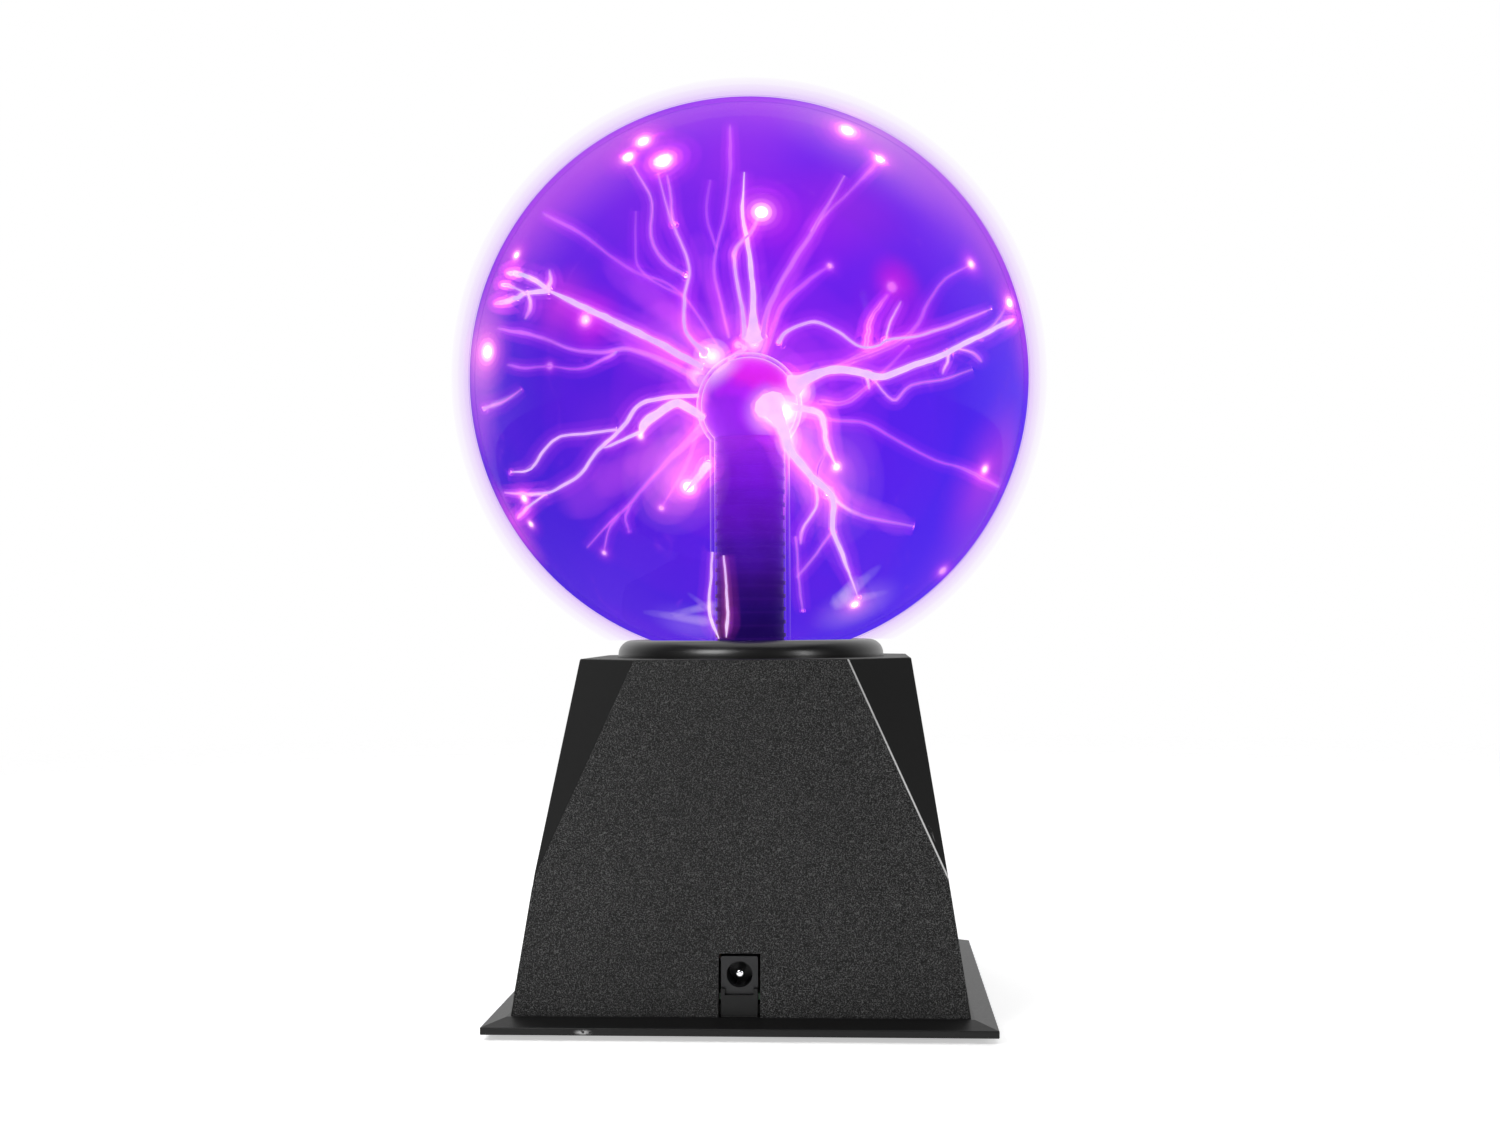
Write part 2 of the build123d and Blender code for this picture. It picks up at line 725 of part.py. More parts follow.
def make_bobbin():
    (inner_width, inner_depth), (outer_width, outer_depth) = bobbin_tube()
    window_width, window_height = core_window()
    low = board_top_z + core_rise + core_outer_leg + bobbin_gap
    height = window_height - 2 * bobbin_gap
    flange_width = core_center_leg + 2 * window_width - 2 * bobbin_gap
    bobbin = block(core_x, core_y, low, outer_width, outer_depth, height)
    for z in (low, low + height - bobbin_flange_thickness):
        bobbin += block(core_x, core_y, z, flange_width, bobbin_flange_depth, bobbin_flange_thickness)
    rail_depth = (bobbin_flange_depth - core_depth) / 4
    for side in (-1, 1):
        y = core_y + side * (bobbin_flange_depth - rail_depth) / 2
        bobbin += block(core_x, y, board_top_z, flange_width, rail_depth, low - board_top_z)
    return bobbin - block(core_x, core_y, low, inner_width, inner_depth, height)


def make_winding():
    (_, _), (tube_width, tube_depth) = bobbin_tube()
    window_width, window_height = core_window()
    low = board_top_z + core_rise + core_outer_leg + bobbin_gap + bobbin_flange_thickness
    height = window_height - 2 * bobbin_gap - 2 * bobbin_flange_thickness
    width = core_center_leg + 2 * window_width - 2 * winding_margin
    depth = bobbin_flange_depth - 2 * winding_margin
    winding = block(core_x, core_y, low, width, depth, height)
    winding = fillet(winding.edges().filter_by(Axis.Z), 2.0)
    return winding - block(core_x, core_y, low, tube_width, tube_depth, height)


def make_heatsink():
    """A flat web with fins on the side away from the transistor."""
    web_y = heatsink_y - heatsink_depth / 2 + heatsink_web / 2
    sink = block(heatsink_x, web_y, board_top_z, heatsink_width, heatsink_web, heatsink_height)
    step = (heatsink_width - heatsink_web) / (heatsink_fin_count - 1)
    for i in range(heatsink_fin_count):
        x = heatsink_x - (heatsink_width - heatsink_web) / 2 + i * step
        sink += block(x, heatsink_y, board_top_z, heatsink_web, heatsink_depth, heatsink_height)
    return sink


def make_transistor():
    y = heatsink_y - heatsink_depth / 2 - transistor_depth / 2
    low = board_top_z + transistor_rise
    body = block(heatsink_x, y, low, transistor_width, transistor_depth, transistor_height * 0.6)
    tab_y = y + transistor_depth / 2 - 0.65
    tab = block(heatsink_x, tab_y, low, transistor_width, 1.3, transistor_height)
    body += tab
    for side in (-1, 0, 1):
        x = heatsink_x + side * transistor_lead_pitch
        body += block(x, y, board_top_z, transistor_lead_width, 0.5, transistor_rise)
    return body


def make_capacitors():
    cans = []
    x = capacitor_from_edge - board_width / 2
    for from_front in capacitors_from_front:
        y = board_front_y + from_front
        can = rod(x, y, board_top_z, board_top_z + capacitor_height, capacitor_diameter / 2)
        cans.append(fillet(can.edges().sort_by(Axis.Z)[-1], 0.8))
    return group(cans)


def make_film_capacitor():
    x = board_width / 2 - film_from_edge
    y = board_front_y + film_from_front
    film = block(x, y, board_top_z, film_width, film_depth, film_height)
    return fillet(film.edges().filter_by(Axis.Z), 1.0)


def make_chip():
    x = chip_from_edge - board_width / 2
    y = board_front_y + chip_from_front
    chip = block(x, y, board_top_z + 0.6, chip_width, chip_depth, chip_height)
    for i in range(4):
        pin_x = x + (i - 1.5) * 2.54
        for side in (-1, 1):
            pin_y = y + side * (chip_depth / 2 + 0.25)
            chip += block(pin_x, pin_y, board_top_z, 0.8, 0.5, chip_height / 2 + 0.6)
    return chip


def resistor_spots():
    left = left_resistors_from_edge - board_width / 2
    right = board_width / 2 - right_resistors_from_edge
    spots = [(left, board_front_y + reach) for reach in left_resistors_from_front]
    return spots + [(right, board_front_y + reach) for reach in right_resistors_from_front]


def make_resistors():
    pieces = []
    for x, y in resistor_spots():
        z = board_top_z + resistor_diameter / 2
        body = Pos(x, y, z) * Rot(0, 90, 0) * Cylinder(resistor_diameter / 2, resistor_length)
        reach = resistor_length + 2 * resistor_lead_reach
        lead = Pos(x, y, z) * Rot(0, 90, 0) * Cylinder(resistor_lead_diameter / 2, reach)
        resistor = body + lead
        for side in (-1, 1):
            lead_x = x + side * reach / 2
            resistor += rod(lead_x, y, board_top_z, z, resistor_lead_diameter / 2)
        pieces.append(resistor)
    return group(pieces)


def make_microphone():
    x = board_width / 2 - microphone_from_edge
    y = board_front_y + microphone_from_front
    top = board_top_z + microphone_height
    capsule = rod(x, y, board_top_z, top, microphone_diameter / 2)
    return capsule - rod(x, y, top - microphone_port_depth, top, microphone_port_diameter / 2)


# ---------------------------------------------------------------- wires


def make_high_voltage_lead():
    """Thick insulated wire from the winding up to the contact rod's lower end."""
    top_z = stem_bottom_z - plug_flange_thickness
    start_y = core_y + bobbin_flange_depth / 2 - winding_margin
    start_z = board_top_z + core_rise + core_height / 2
    turn_y = start_y + lead_reach
    middle_z = (start_z + top_z - lead_last_rise) / 2
    points = [
        (core_x, start_y, start_z),
        (core_x, turn_y, start_z),
        (core_x * 0.8, turn_y, middle_z),
        (0, 0, top_z - lead_last_rise),
        (0, 0, top_z),
    ]
    return tube_along(points, lead_diameter / 2, bend_radii(points))


def bend_radii(points):
    """For each inner point the largest arc that its two runs leave room for."""
    radii = []
    for before, here, after in zip(points, points[1:], points[2:]):
        run_in = Vector(here) - Vector(before)
        run_out = Vector(after) - Vector(here)
        half_turn = radians(run_in.get_angle(run_out)) / 2
        radii.append(0.45 * min(run_in.length, run_out.length) / tan(half_turn))
    return radii


def make_switch_leads():
    """One thin wire from the board up to each switch terminal."""
    wall = switch_frame_of_wall()
    end_z = switch_base_center() - switch_base_thickness / 2 - terminal_length
    foot_y = board_front_y + board_length - wires_from_back
    wires = []
    for x in terminal_places():
        tip = wall.from_local_coords(Vector(x, 0, end_z))
        bend = wall.from_local_coords(Vector(x, 0, end_z - wire_reach))
        points = [
            (x, foot_y, board_top_z),
            (x, foot_y, board_top_z + wire_rise),
            (x, bend.Y, bend.Z),
            (x, tip.Y, tip.Z),
        ]
        wires.append(tube_along(points, wire_diameter / 2, bend_radii(points)))
    return group(wires)


# ---------------------------------------------------------------- write one file per piece

makers = {
    "feet": make_feet,
    "base_plate": make_base_plate,
    "base_screws": make_base_screws,
    "housing": make_housing,
    "collar": make_collar,
    "collar_screws": make_collar_screws,
    "globe_gasket": make_gasket,
    "neck_sealant": make_sealant,
    "globe": make_globe,
    "electrode_stem": make_stem,
    "electrode_sleeve": make_electrode_sleeve,
    "electrode_cap": make_electrode_cap,
    "contact_rod": make_contact_rod,
    "stem_plug": make_stem_plug,
    "high_voltage_lead": make_high_voltage_lead,
    "circuit_board": make_board,
    "board_screws": make_board_screws,
    "transformer_core": make_core,
    "transformer_bobbin": make_bobbin,
    "transformer_winding": make_winding,
    "heatsink": make_heatsink,
    "power_transistor": make_transistor,
    "electrolytic_capacitors": make_capacitors,
    "film_capacitor": make_film_capacitor,
    "oscillator_chip": make_chip,
    "resistors": make_resistors,
    "microphone": make_microphone,
    "inlet_body": make_inlet_body,
    "inlet_pin": make_inlet_pin,
    "inlet_contact": make_inlet_contact,
    "switch_bracket": make_switch_bracket,
    "switch_base": make_switch_base,
    "switch_terminals": make_switch_terminals,
    "switch_knob": make_switch_knob,
    "switch_screws": make_switch_screws,
    "switch_leads": make_switch_leads,
}

os.makedirs("parts", exist_ok=True)
for name, make in makers.items():
    export_step(make(), f"parts/{name}.step")
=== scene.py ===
import math
from typing import NamedTuple

import bpy
from mathutils import Matrix, Vector, noise


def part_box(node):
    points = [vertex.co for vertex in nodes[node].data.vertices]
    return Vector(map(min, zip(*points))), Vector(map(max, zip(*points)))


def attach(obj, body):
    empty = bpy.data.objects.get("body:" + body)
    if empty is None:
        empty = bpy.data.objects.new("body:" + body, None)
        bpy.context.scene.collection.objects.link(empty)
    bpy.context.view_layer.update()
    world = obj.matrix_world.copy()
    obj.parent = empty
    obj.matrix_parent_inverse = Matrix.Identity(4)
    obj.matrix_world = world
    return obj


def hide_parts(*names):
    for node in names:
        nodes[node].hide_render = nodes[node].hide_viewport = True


MM = 0.001
NOISE_SEED = 5
noise.seed_set(NOISE_SEED)

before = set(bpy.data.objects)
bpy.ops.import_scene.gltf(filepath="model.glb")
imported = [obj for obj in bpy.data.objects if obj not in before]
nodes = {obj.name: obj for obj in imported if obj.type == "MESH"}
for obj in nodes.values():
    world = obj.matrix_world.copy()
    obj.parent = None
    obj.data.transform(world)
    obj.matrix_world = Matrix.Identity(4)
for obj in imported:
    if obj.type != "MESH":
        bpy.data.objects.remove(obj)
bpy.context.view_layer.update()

# ---------------------------------------------------------------- places taken from the frame

GLOBE_RADIUS = 75 * MM
GLASS_WALL = 1.6 * MM
globe_low, globe_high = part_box("globe")
GLOBE_CENTER = Vector((0, 0, globe_high[2] - GLOBE_RADIUS))
stem_low, stem_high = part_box("electrode_stem")
BULB_RADIUS = 14.3 * MM
BULB_CENTER = Vector((0, 0, stem_high[2] - BULB_RADIUS))
sleeve_low, sleeve_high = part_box("electrode_sleeve")
housing_low, housing_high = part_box("housing")
collar_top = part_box("collar")[1][2]
plate_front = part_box("base_plate")[0][1]
GAS_RADIUS = GLOBE_RADIUS - 0.35 * MM
STREAMER_REACH = GLOBE_RADIUS - GLASS_WALL - 0.5 * MM
NECK_RADIUS = 17 * MM
RIB_PITCH = 3.5 * MM
# Painted halo round the globe: the gap of its shells from the glass, and the reach of each shell.
HALO_GAP = 0.05 * MM
HALO_REACH = (1.3 * MM, 2.8 * MM, 4.5 * MM)
NICK = (-36.5 * MM, plate_front, 2.3 * MM)
SCRATCH = (47.3 * MM, -48.0 * MM, 48.5 * MM)
# Painted highlight along the edge between the front wall and the +X facet, from the facet's lower tip to the
# top.
HOUSING_TOP_HALF = 42.2 * MM
APEX_RISE = 32.3 * MM
EDGE_HIGHLIGHT_WIDTH = 0.2 * MM
apex_share = APEX_RISE / (housing_high[2] - housing_low[2])
apex_half = housing_high[0] + (HOUSING_TOP_HALF - housing_high[0]) * apex_share
FACET_APEX = Vector((apex_half, -apex_half, housing_low[2] + APEX_RISE))
FACET_TOP = Vector((26.4 * MM, -HOUSING_TOP_HALF, housing_high[2]))
# Painted glow spots on the bulb, white where streamers stand on it: direction from its centre, radius in
# millimetres, display colour.
CAP_SPOTS = [
    ((-0.58, -0.38, 0.72), 9.5, (250, 236, 250)),
    ((0.50, -0.80, -0.22), 9.5, (250, 232, 250)),
    ((0.85, -0.50, -0.05), 8.0, (250, 214, 250)),
    ((-0.92, -0.35, 0.15), 6.0, (240, 120, 246)),
    ((0.05, -0.35, 0.94), 8.0, (240, 70, 238)),
    ((0.5, 0.8, 0.1), 9.0, (250, 232, 250)),
    ((-0.5, 0.75, -0.3), 8.0, (250, 232, 250)),
]

# ---------------------------------------------------------------- camera

CAMERA_SPOT = Vector((29.73, -492.1, 98.5)) * MM
CAMERA_YAW = math.radians(3.467)
CAMERA_PITCH = math.radians(1.868)
CAMERA_ROLL = math.radians(-0.351)
CAMERA_LENS = 43.97


def make_camera():
    """The photograph's viewpoint, from the yaw, pitch and roll above."""
    data = bpy.data.cameras.new("view_camera")
    data.lens = CAMERA_LENS
    data.sensor_width = 36
    data.clip_start = 0.01
    camera = bpy.data.objects.new("view_camera", data)
    bpy.context.scene.collection.objects.link(camera)
    level = math.cos(CAMERA_PITCH)
    ahead = Vector((-math.sin(CAMERA_YAW) * level, math.cos(CAMERA_YAW) * level, math.sin(CAMERA_PITCH)))
    right = Vector((math.cos(CAMERA_YAW), math.sin(CAMERA_YAW), 0))
    up = right.cross(ahead)
    tilted_right = right * math.cos(CAMERA_ROLL) + up * math.sin(CAMERA_ROLL)
    tilted_up = up * math.cos(CAMERA_ROLL) - right * math.sin(CAMERA_ROLL)
    turn = Matrix((tilted_right, tilted_up, -ahead)).transposed()
    camera.matrix_world = Matrix.Translation(CAMERA_SPOT) @ turn.to_4x4()
    bpy.context.scene.camera = camera


# ---------------------------------------------------------------- node helpers


class Shader:
    """The node tree of a material, or of the world, with short calls to add and join nodes."""

    def __init__(self, name, world=False):
        self.owner = (bpy.data.worlds if world else bpy.data.materials).new(name)
        self.owner.use_nodes = True
        self.tree = self.owner.node_tree
        self.tree.nodes.clear()
        self.output = self.add("OutputWorld" if world else "OutputMaterial")

    def add(self, kind, **inputs):
        """A new node. Inputs are set by name, with underscores for spaces, from values or sockets."""
        node = self.tree.nodes.new("ShaderNode" + kind)
        self.set(node, **inputs)
        return node

    def set(self, node, **inputs):
        for key, value in inputs.items():
            name = key.replace("_", " ")
            if name in node.inputs:
                self.join(value, node.inputs[name])
            else:
                setattr(node, key, value)

    def join(self, value, socket):
        if isinstance(value, bpy.types.NodeSocket):
            self.tree.links.new(value, socket)
        else:
            socket.default_value = value

    def math(self, operation, *values, clamp=False):
        node = self.tree.nodes.new("ShaderNodeMath")
        node.operation = operation
        node.use_clamp = clamp
        for value, socket in zip(values, node.inputs):
            self.join(value, socket)
        return node.outputs[0]

    def vector(self, operation, *values):
        node = self.tree.nodes.new("ShaderNodeVectorMath")
        node.operation = operation
        for value, socket in zip(values, node.inputs):
            self.join(value, socket)
        return node.outputs["Value" if operation in ("LENGTH", "DOT_PRODUCT", "DISTANCE") else "Vector"]

    def mix(self, factor, first, second, blend="MIX"):
        node = self.tree.nodes.new("ShaderNodeMix")
        node.data_type = "RGBA"
        node.blend_type = blend
        node.clamp_factor = True
        self.join(factor, node.inputs["Factor"])
        self.join(first, node.inputs["A"])
        self.join(second, node.inputs["B"])
        return node.outputs["Result"]

    def blend(self, factor, first, second):
        """Two shaders mixed."""
        node = self.add("MixShader")
        for value, socket in zip((factor, first, second), node.inputs):
            self.join(value, socket)
        return node.outputs[0]

    def light(self, colour, strength=1.0):
        return self.add("Emission", Color=colour, Strength=strength).outputs[0]

    def clear(self, colour=(1, 1, 1, 1)):
        return self.add("BsdfTransparent", Color=colour).outputs[0]

    def parts(self, vector):
        """The X, Y and Z of a vector, by name."""
        node = self.add("SeparateXYZ")
        self.join(vector, node.inputs[0])
        return node.outputs

    def place(self):
        """Object coordinates, in metres from the piece's origin."""
        return self.add("TexCoord").outputs["Object"]

    def scaled_place(self, x, y, z):
        return self.vector("MULTIPLY", self.place(), (x, y, z))

    def noise(self, vector, scale, detail=3.0, roughness=0.55, distortion=0.0):
        node = self.add("TexNoise", Scale=scale, Detail=detail, Roughness=roughness, Distortion=distortion)
        self.join(vector, node.inputs["Vector"])
        return node.outputs["Fac"]

    def ramp(self, value, *stops):
        """A colour ramp; each stop is (place, grey or colour)."""
        node = self.tree.nodes.new("ShaderNodeValToRGB")
        node.color_ramp.interpolation = "EASE"
        marks = node.color_ramp.elements
        while len(marks) < len(stops):
            marks.new(1.0)
        for mark, (at, colour) in zip(marks, stops):
            mark.position = at
            mark.color = colour if isinstance(colour, tuple) else grey(colour)
        self.join(value, node.inputs["Fac"])
        return node.outputs["Color"]

    def bump(self, height, strength, distance):
        node = self.add("Bump", Strength=strength, Distance=distance)
        self.join(height, node.inputs["Height"])
        return node.outputs["Normal"]

    def finish(self, surface=None, volume=None):
        if surface is not None:
            self.join(surface, self.output.inputs["Surface"])
        if volume is not None:
            self.join(volume, self.output.inputs["Volume"])
        return self.owner


def grey(value):
    return (value, value, value, 1)


def rgb(*display):
    """A linear colour from 8-bit display values."""
    return *(((v / 255 + 0.055) / 1.055) ** 2.4 if v > 10 else v / 3295 for v in display), 1


# ---------------------------------------------------------------- finishes


def moulded(name, colour, roughness, grain=400.0, grain_depth=0.02):
    """Smooth moulded plastic, paint or rubber: fine bump, faint blotches and uneven gloss."""
    s = Shader(name)
    blotch = s.noise(s.place(), 60, 4)
    fine = s.noise(s.place(), grain, 3)
    tone = s.ramp(blotch, (0.3, 0.85), (0.7, 1.0))
    base = s.mix(1.0, (*colour, 1), tone, "MULTIPLY")
    gloss = s.math("MULTIPLY_ADD", fine, 0.12, roughness - 0.06)
    normal = s.bump(fine, 0.35, grain_depth * MM)
    shader = s.add("BsdfPrincipled", Base_Color=base, Roughness=gloss, Normal=normal, Specular_IOR_Level=0.4)
    return s.finish(shader.outputs[0])


def metal(name, colour, roughness):
    """Bare metal with drawn or turned marks along Z."""
    s = Shader(name)
    marks = s.noise(s.scaled_place(400, 400, 12), 6, 4)
    tone = s.ramp(marks, (0.25, 0.75), (0.75, 1.0))
    base = s.mix(1.0, (*colour, 1), tone, "MULTIPLY")
    gloss = s.math("MULTIPLY_ADD", marks, 0.15, roughness - 0.07)
    normal = s.bump(marks, 0.2, 0.02 * MM)
    shader = s.add("BsdfPrincipled", Base_Color=base, Roughness=gloss, Normal=normal, Metallic=1.0)
    return s.finish(shader.outputs[0])


def near(s, place, spot, radius):
    """1 at a spot in the object's space, falling smoothly to 0 at a radius from it."""
    away = s.vector("DISTANCE", place, tuple(spot))
    share = s.math("SUBTRACT", 1.0, s.math("DIVIDE", away, radius), clamp=True)
    return s.math("MULTIPLY", s.math("MULTIPLY", share, share), s.math("MULTIPLY_ADD", share, -2.0, 3.0))


def housing_plastic():
    """Black plastic: spark-eroded grain on the flat walls, its pale specks partly painted glints, smooth and
    darker on the corner facets.
    """
    s = Shader("grained_black_plastic")
    side = s.parts(s.add("TexCoord").outputs["Normal"])
    across = s.math("ABSOLUTE", s.math("MULTIPLY", side["X"], side["Y"]))
    facet = s.math("MULTIPLY", across, 5.0, clamp=True)
    top = s.math("MULTIPLY_ADD", side["Z"], 4.0, -2.0, clamp=True)
    plain = s.math("MAXIMUM", facet, top)
    place = s.place()
    pits = s.noise(place, 3600, 1.0, 0.5, 0.3)
    grain = s.ramp(pits, (0.42, 0.0), (0.53, 0.25), (0.68, 1.0))
    wide = s.noise(place, 18, 4)
    # Grain specks in the base colour: partly the grain's own tone, partly painted glints.
    wear_grain_and_glints = s.mix(grain, grey(0.001), grey(0.095))
    dull = s.mix(wide, grey(0.002), grey(0.004))
    base = s.mix(plain, wear_grain_and_glints, dull)
    tint = s.ramp(wide, (0.3, 0.80), (0.7, 1.0))
    base = s.mix(1.0, base, tint, "MULTIPLY")
    # Painted highlight: pale grey along the edge between the front wall and the +X facet, patchy by the wide
    # noise.
    from_apex = s.vector("SUBTRACT", place, tuple(FACET_APEX))
    along_edge = (FACET_TOP - FACET_APEX).normalized()
    away = s.vector("LENGTH", s.vector("CROSS_PRODUCT", from_apex, tuple(along_edge)))
    painted_edge_highlight = s.math("SUBTRACT", 1.6, s.math("DIVIDE", away, EDGE_HIGHLIGHT_WIDTH), clamp=True)
    painted_edge_highlight = s.math("MULTIPLY", painted_edge_highlight, s.ramp(wide, (0.3, 0.6), (0.6, 1.0)))
    base = s.mix(painted_edge_highlight, base, grey(0.55))
    scratch_place = s.vector("SUBTRACT", place, SCRATCH)
    line = s.noise(s.vector("MULTIPLY", scratch_place, (900, 900, 120)), 1.0, 2)
    scratch = s.math("MULTIPLY", near(s, place, SCRATCH, 3.5 * MM), s.ramp(line, (0.60, 0.0), (0.66, 1.0)))
    base = s.mix(scratch, base, grey(0.35))
    depth = s.math("MULTIPLY_ADD", plain, -0.9, 1.0)
    rough = s.math("MULTIPLY_ADD", plain, -0.05, 0.52)
    normal = s.bump(grain, depth, 0.12 * MM)
    shader = s.add("BsdfPrincipled", Base_Color=base, Roughness=rough, Normal=normal, Specular_IOR_Level=0.22)
    return s.finish(shader.outputs[0])


def plate_plastic():
    """Satin black plastic with fine scuffs and a pale nick on its front edge."""
    s = Shader("satin_black_plastic")
    place = s.place()
    fine = s.noise(place, 1400, 3)
    scuff = s.noise(s.scaled_place(1, 1, 0.3), 160, 5, 0.7)
    wear_grain_and_glints = s.ramp(scuff, (0.60, 0.0), (0.75, 1.0))
    base = s.mix(wear_grain_and_glints, grey(0.004), grey(0.014))
    rub = s.noise(place, 1100, 3, 0.7)
    flat_place = s.vector("MULTIPLY", place, (1, 1, 3))
    flat_nick = (NICK[0], NICK[1], NICK[2] * 3)
    nick = near(s, flat_place, flat_nick, 2.6 * MM)
    nick = s.math("MULTIPLY", nick, s.ramp(rub, (0.40, 0.0), (0.52, 1.0)))
    base = s.mix(nick, base, grey(0.42))
    rough = s.math("MULTIPLY_ADD", fine, 0.12, 0.36)
    rounded = s.add("Bevel", samples=6, Radius=0.3 * MM).outputs["Normal"]
    normal = s.add("Bump", Distance=0.03 * MM, Strength=0.5, Height=fine, Normal=rounded).outputs["Normal"]
    shader = s.add("BsdfPrincipled", Base_Color=base, Roughness=rough, Normal=normal, Specular_IOR_Level=0.3)
    return s.finish(shader.outputs[0])


def collar_plastic():
    """Satin black with moulding streaks round the ring."""
    s = Shader("collar_black_plastic")
    streaks = s.noise(s.scaled_place(40, 40, 900), 4, 3)
    fine = s.noise(s.place(), 900, 3)
    base = s.mix(streaks, grey(0.006), grey(0.012))
    rough = s.math("MULTIPLY_ADD", streaks, 0.08, 0.26)
    normal = s.bump(fine, 0.25, 0.02 * MM)
    shader = s.add("BsdfPrincipled", Base_Color=base, Roughness=rough, Normal=normal)
    return s.finish(shader.outputs[0])


def board_laminate():
    """Green solder mask over copper tracks."""
    s = Shader("board_laminate")
    bricks = s.add("TexBrick", Scale=120.0, Mortar_Size=0.06)
    s.join(s.place(), bricks.inputs["Vector"])
    track = s.math("GREATER_THAN", s.noise(s.place(), 90, 2), 0.52)
    base = s.mix(track, (0.012, 0.10, 0.035, 1), (0.03, 0.22, 0.07, 1))
    base = s.mix(s.math("MULTIPLY", bricks.outputs["Fac"], 0.5), base, (0.008, 0.07, 0.025, 1))
    normal = s.bump(track, 0.3, 0.035 * MM)
    shader = s.add("BsdfPrincipled", Base_Color=base, Roughness=0.3, Normal=normal)
    return s.finish(shader.outputs[0])


# ---------------------------------------------------------------- glowing finishes


def globe_glass():
    """Clear thin glass: lets the light through, with a faint mirror and a violet edge."""
    s = Shader("globe_glass")
    rim = s.add("LayerWeight", Blend=0.5).outputs["Facing"]
    edge = s.math("POWER", rim, 30.0)
    tint = s.mix(edge, (1, 1, 1, 1), (0.62, 0.42, 0.90, 1))
    mirror = s.add("BsdfGlossy", Roughness=0.04).outputs[0]
    shine = s.math("MULTIPLY", s.add("Fresnel", IOR=1.45).outputs[0], 0.025)
    return s.finish(s.blend(shine, s.clear(tint), mirror))


# Glows on the gas against the wall: (x, z) seen at the globe's middle plane, radius, display colour
# and strength. Millimetres.
WALL_GLOWS = [
    (0, 74, 36, (192, 96, 246), 1.0),
    (-4, 58, 26, (190, 78, 246), 0.7),
    (-36, 60, 36, (205, 106, 240), 1.0),
    (-58, 42, 34, (196, 92, 238), 1.0),
    (-72, 8, 26, (234, 160, 242), 1.0),
    (-66, 24, 22, (196, 92, 238), 0.8),
    (-50, 21, 15, (226, 84, 238), 0.9),
    (34, 62, 36, (228, 166, 242), 1.0),
    (52, 48, 36, (200, 116, 240), 1.0),
    (64, 32, 26, (190, 96, 238), 0.9),
    (74, 14, 24, (180, 80, 240), 0.9),
    (63, -26, 26, (190, 84, 240), 0.95),
    (58, -42, 28, (146, 80, 242), 0.8),
    (-61, -36, 18, (226, 104, 238), 1.0),
    (-72, -8, 22, (176, 92, 238), 0.8),
    (-36, -14, 20, (150, 76, 232), 0.6),
    (-34, -54, 28, (110, 64, 232), 0.5),
    (28, -60, 16, (178, 150, 248), 0.8),
    (-16, -64, 14, (158, 128, 246), 0.7),
    (-42, 17, 13, (226, 60, 234), 0.8),
    (39, 26, 11, (226, 56, 232), 0.9),
    (40, 14, 22, (186, 56, 240), 0.7),
    (10, 42, 26, (184, 54, 246), 0.8),
    (-22, 46, 24, (160, 66, 242), 0.6),
    (26, 46, 24, (186, 72, 240), 0.6),
]


def gas_glow():
    """The lit gas against the far wall: seen from inside, clear from outside. Front and back are alike."""
    s = Shader("gas_glow")
    place = s.place()
    parts = s.parts(place)
    x = s.math("DIVIDE", parts["X"], GAS_RADIUS)
    z = s.math("DIVIDE", parts["Z"], GAS_RADIUS)
    away = s.math("ABSOLUTE", parts["Y"])
    mirrored = s.add("CombineXYZ", X=parts["X"], Y=away, Z=parts["Z"]).outputs[0]
    cloud = s.noise(place, 22, 4, 0.55, 0.6)
    wisp = s.noise(s.vector("MULTIPLY", place, (3.0, 3.0, 1.1)), 34, 5, 0.6, 1.2)
    base = s.mix(s.math("MULTIPLY_ADD", x, 0.55, 0.5, clamp=True), rgb(86, 53, 220), rgb(96, 62, 246))
    high = s.math("MULTIPLY_ADD", z, 1.6, -0.15, clamp=True)
    base = s.mix(s.math("MULTIPLY", high, 0.8), base, rgb(150, 66, 246))
    base = s.mix(s.ramp(cloud, (0.40, 0.0), (0.75, 0.35)), base, rgb(126, 52, 236))
    soft = s.ramp(cloud, (0.25, 0.75), (0.65, 1.0))
    for gx, gz, radius, colour, strength in WALL_GLOWS:
        spot = seen_at(gx, gz, wall_depth(gx, gz, 1)) - GLOBE_CENTER
        share = s.math("MULTIPLY", near(s, mirrored, spot, radius * MM), strength)
        base = s.mix(s.math("MULTIPLY", share, soft), base, rgb(*colour))
    streak = s.ramp(wisp, (0.60, 0.0), (0.85, 1.0))
    base = s.mix(s.math("MULTIPLY", streak, 0.4), base, rgb(200, 104, 246))
    outside = s.add("NewGeometry").outputs["Backfacing"]
    s.owner.use_backface_culling = True
    return s.finish(s.blend(outside, s.light(base), s.clear()))


def streamer_core():
    """Hot core: near white where the heat is high, pink and then violet where it is low."""
    s = Shader("streamer_core")
    heat = s.add("Attribute", attribute_name="core_heat").outputs["Fac"]
    colour = s.ramp(
        heat, (0.0, rgb(150, 64, 246)), (0.40, rgb(206, 96, 246)), (0.70, rgb(222, 196, 252)),
        (1.0, rgb(240, 234, 252)),
    )
    flicker = s.ramp(s.noise(s.place(), 260, 2), (0.3, 0.88), (0.7, 1.0))
    colour = s.mix(1.0, colour, flicker, "MULTIPLY")
    return s.finish(s.light(colour, 1.12))


def lit_gas(name, colour, strength, veil=0.0):
    """Gas that gives off light through its depth. With a veil, its clear skin shows a share of the colour."""
    s = Shader(name)
    skin = s.clear()
    if veil:
        skin = s.blend(veil, skin, s.light((*colour, 1)))
    return s.finish(skin, s.light((*colour, 1), strength))


def painted_halo(name):
    """Painted halo: a violet tint round the lit globe that stands for its bloom."""
    s = Shader(name)
    tint = s.add("VolumeAbsorption", Color=(0.56, 0.09, 0.94, 1), Density=4.4).outputs[0]
    return s.finish(s.clear(), tint)


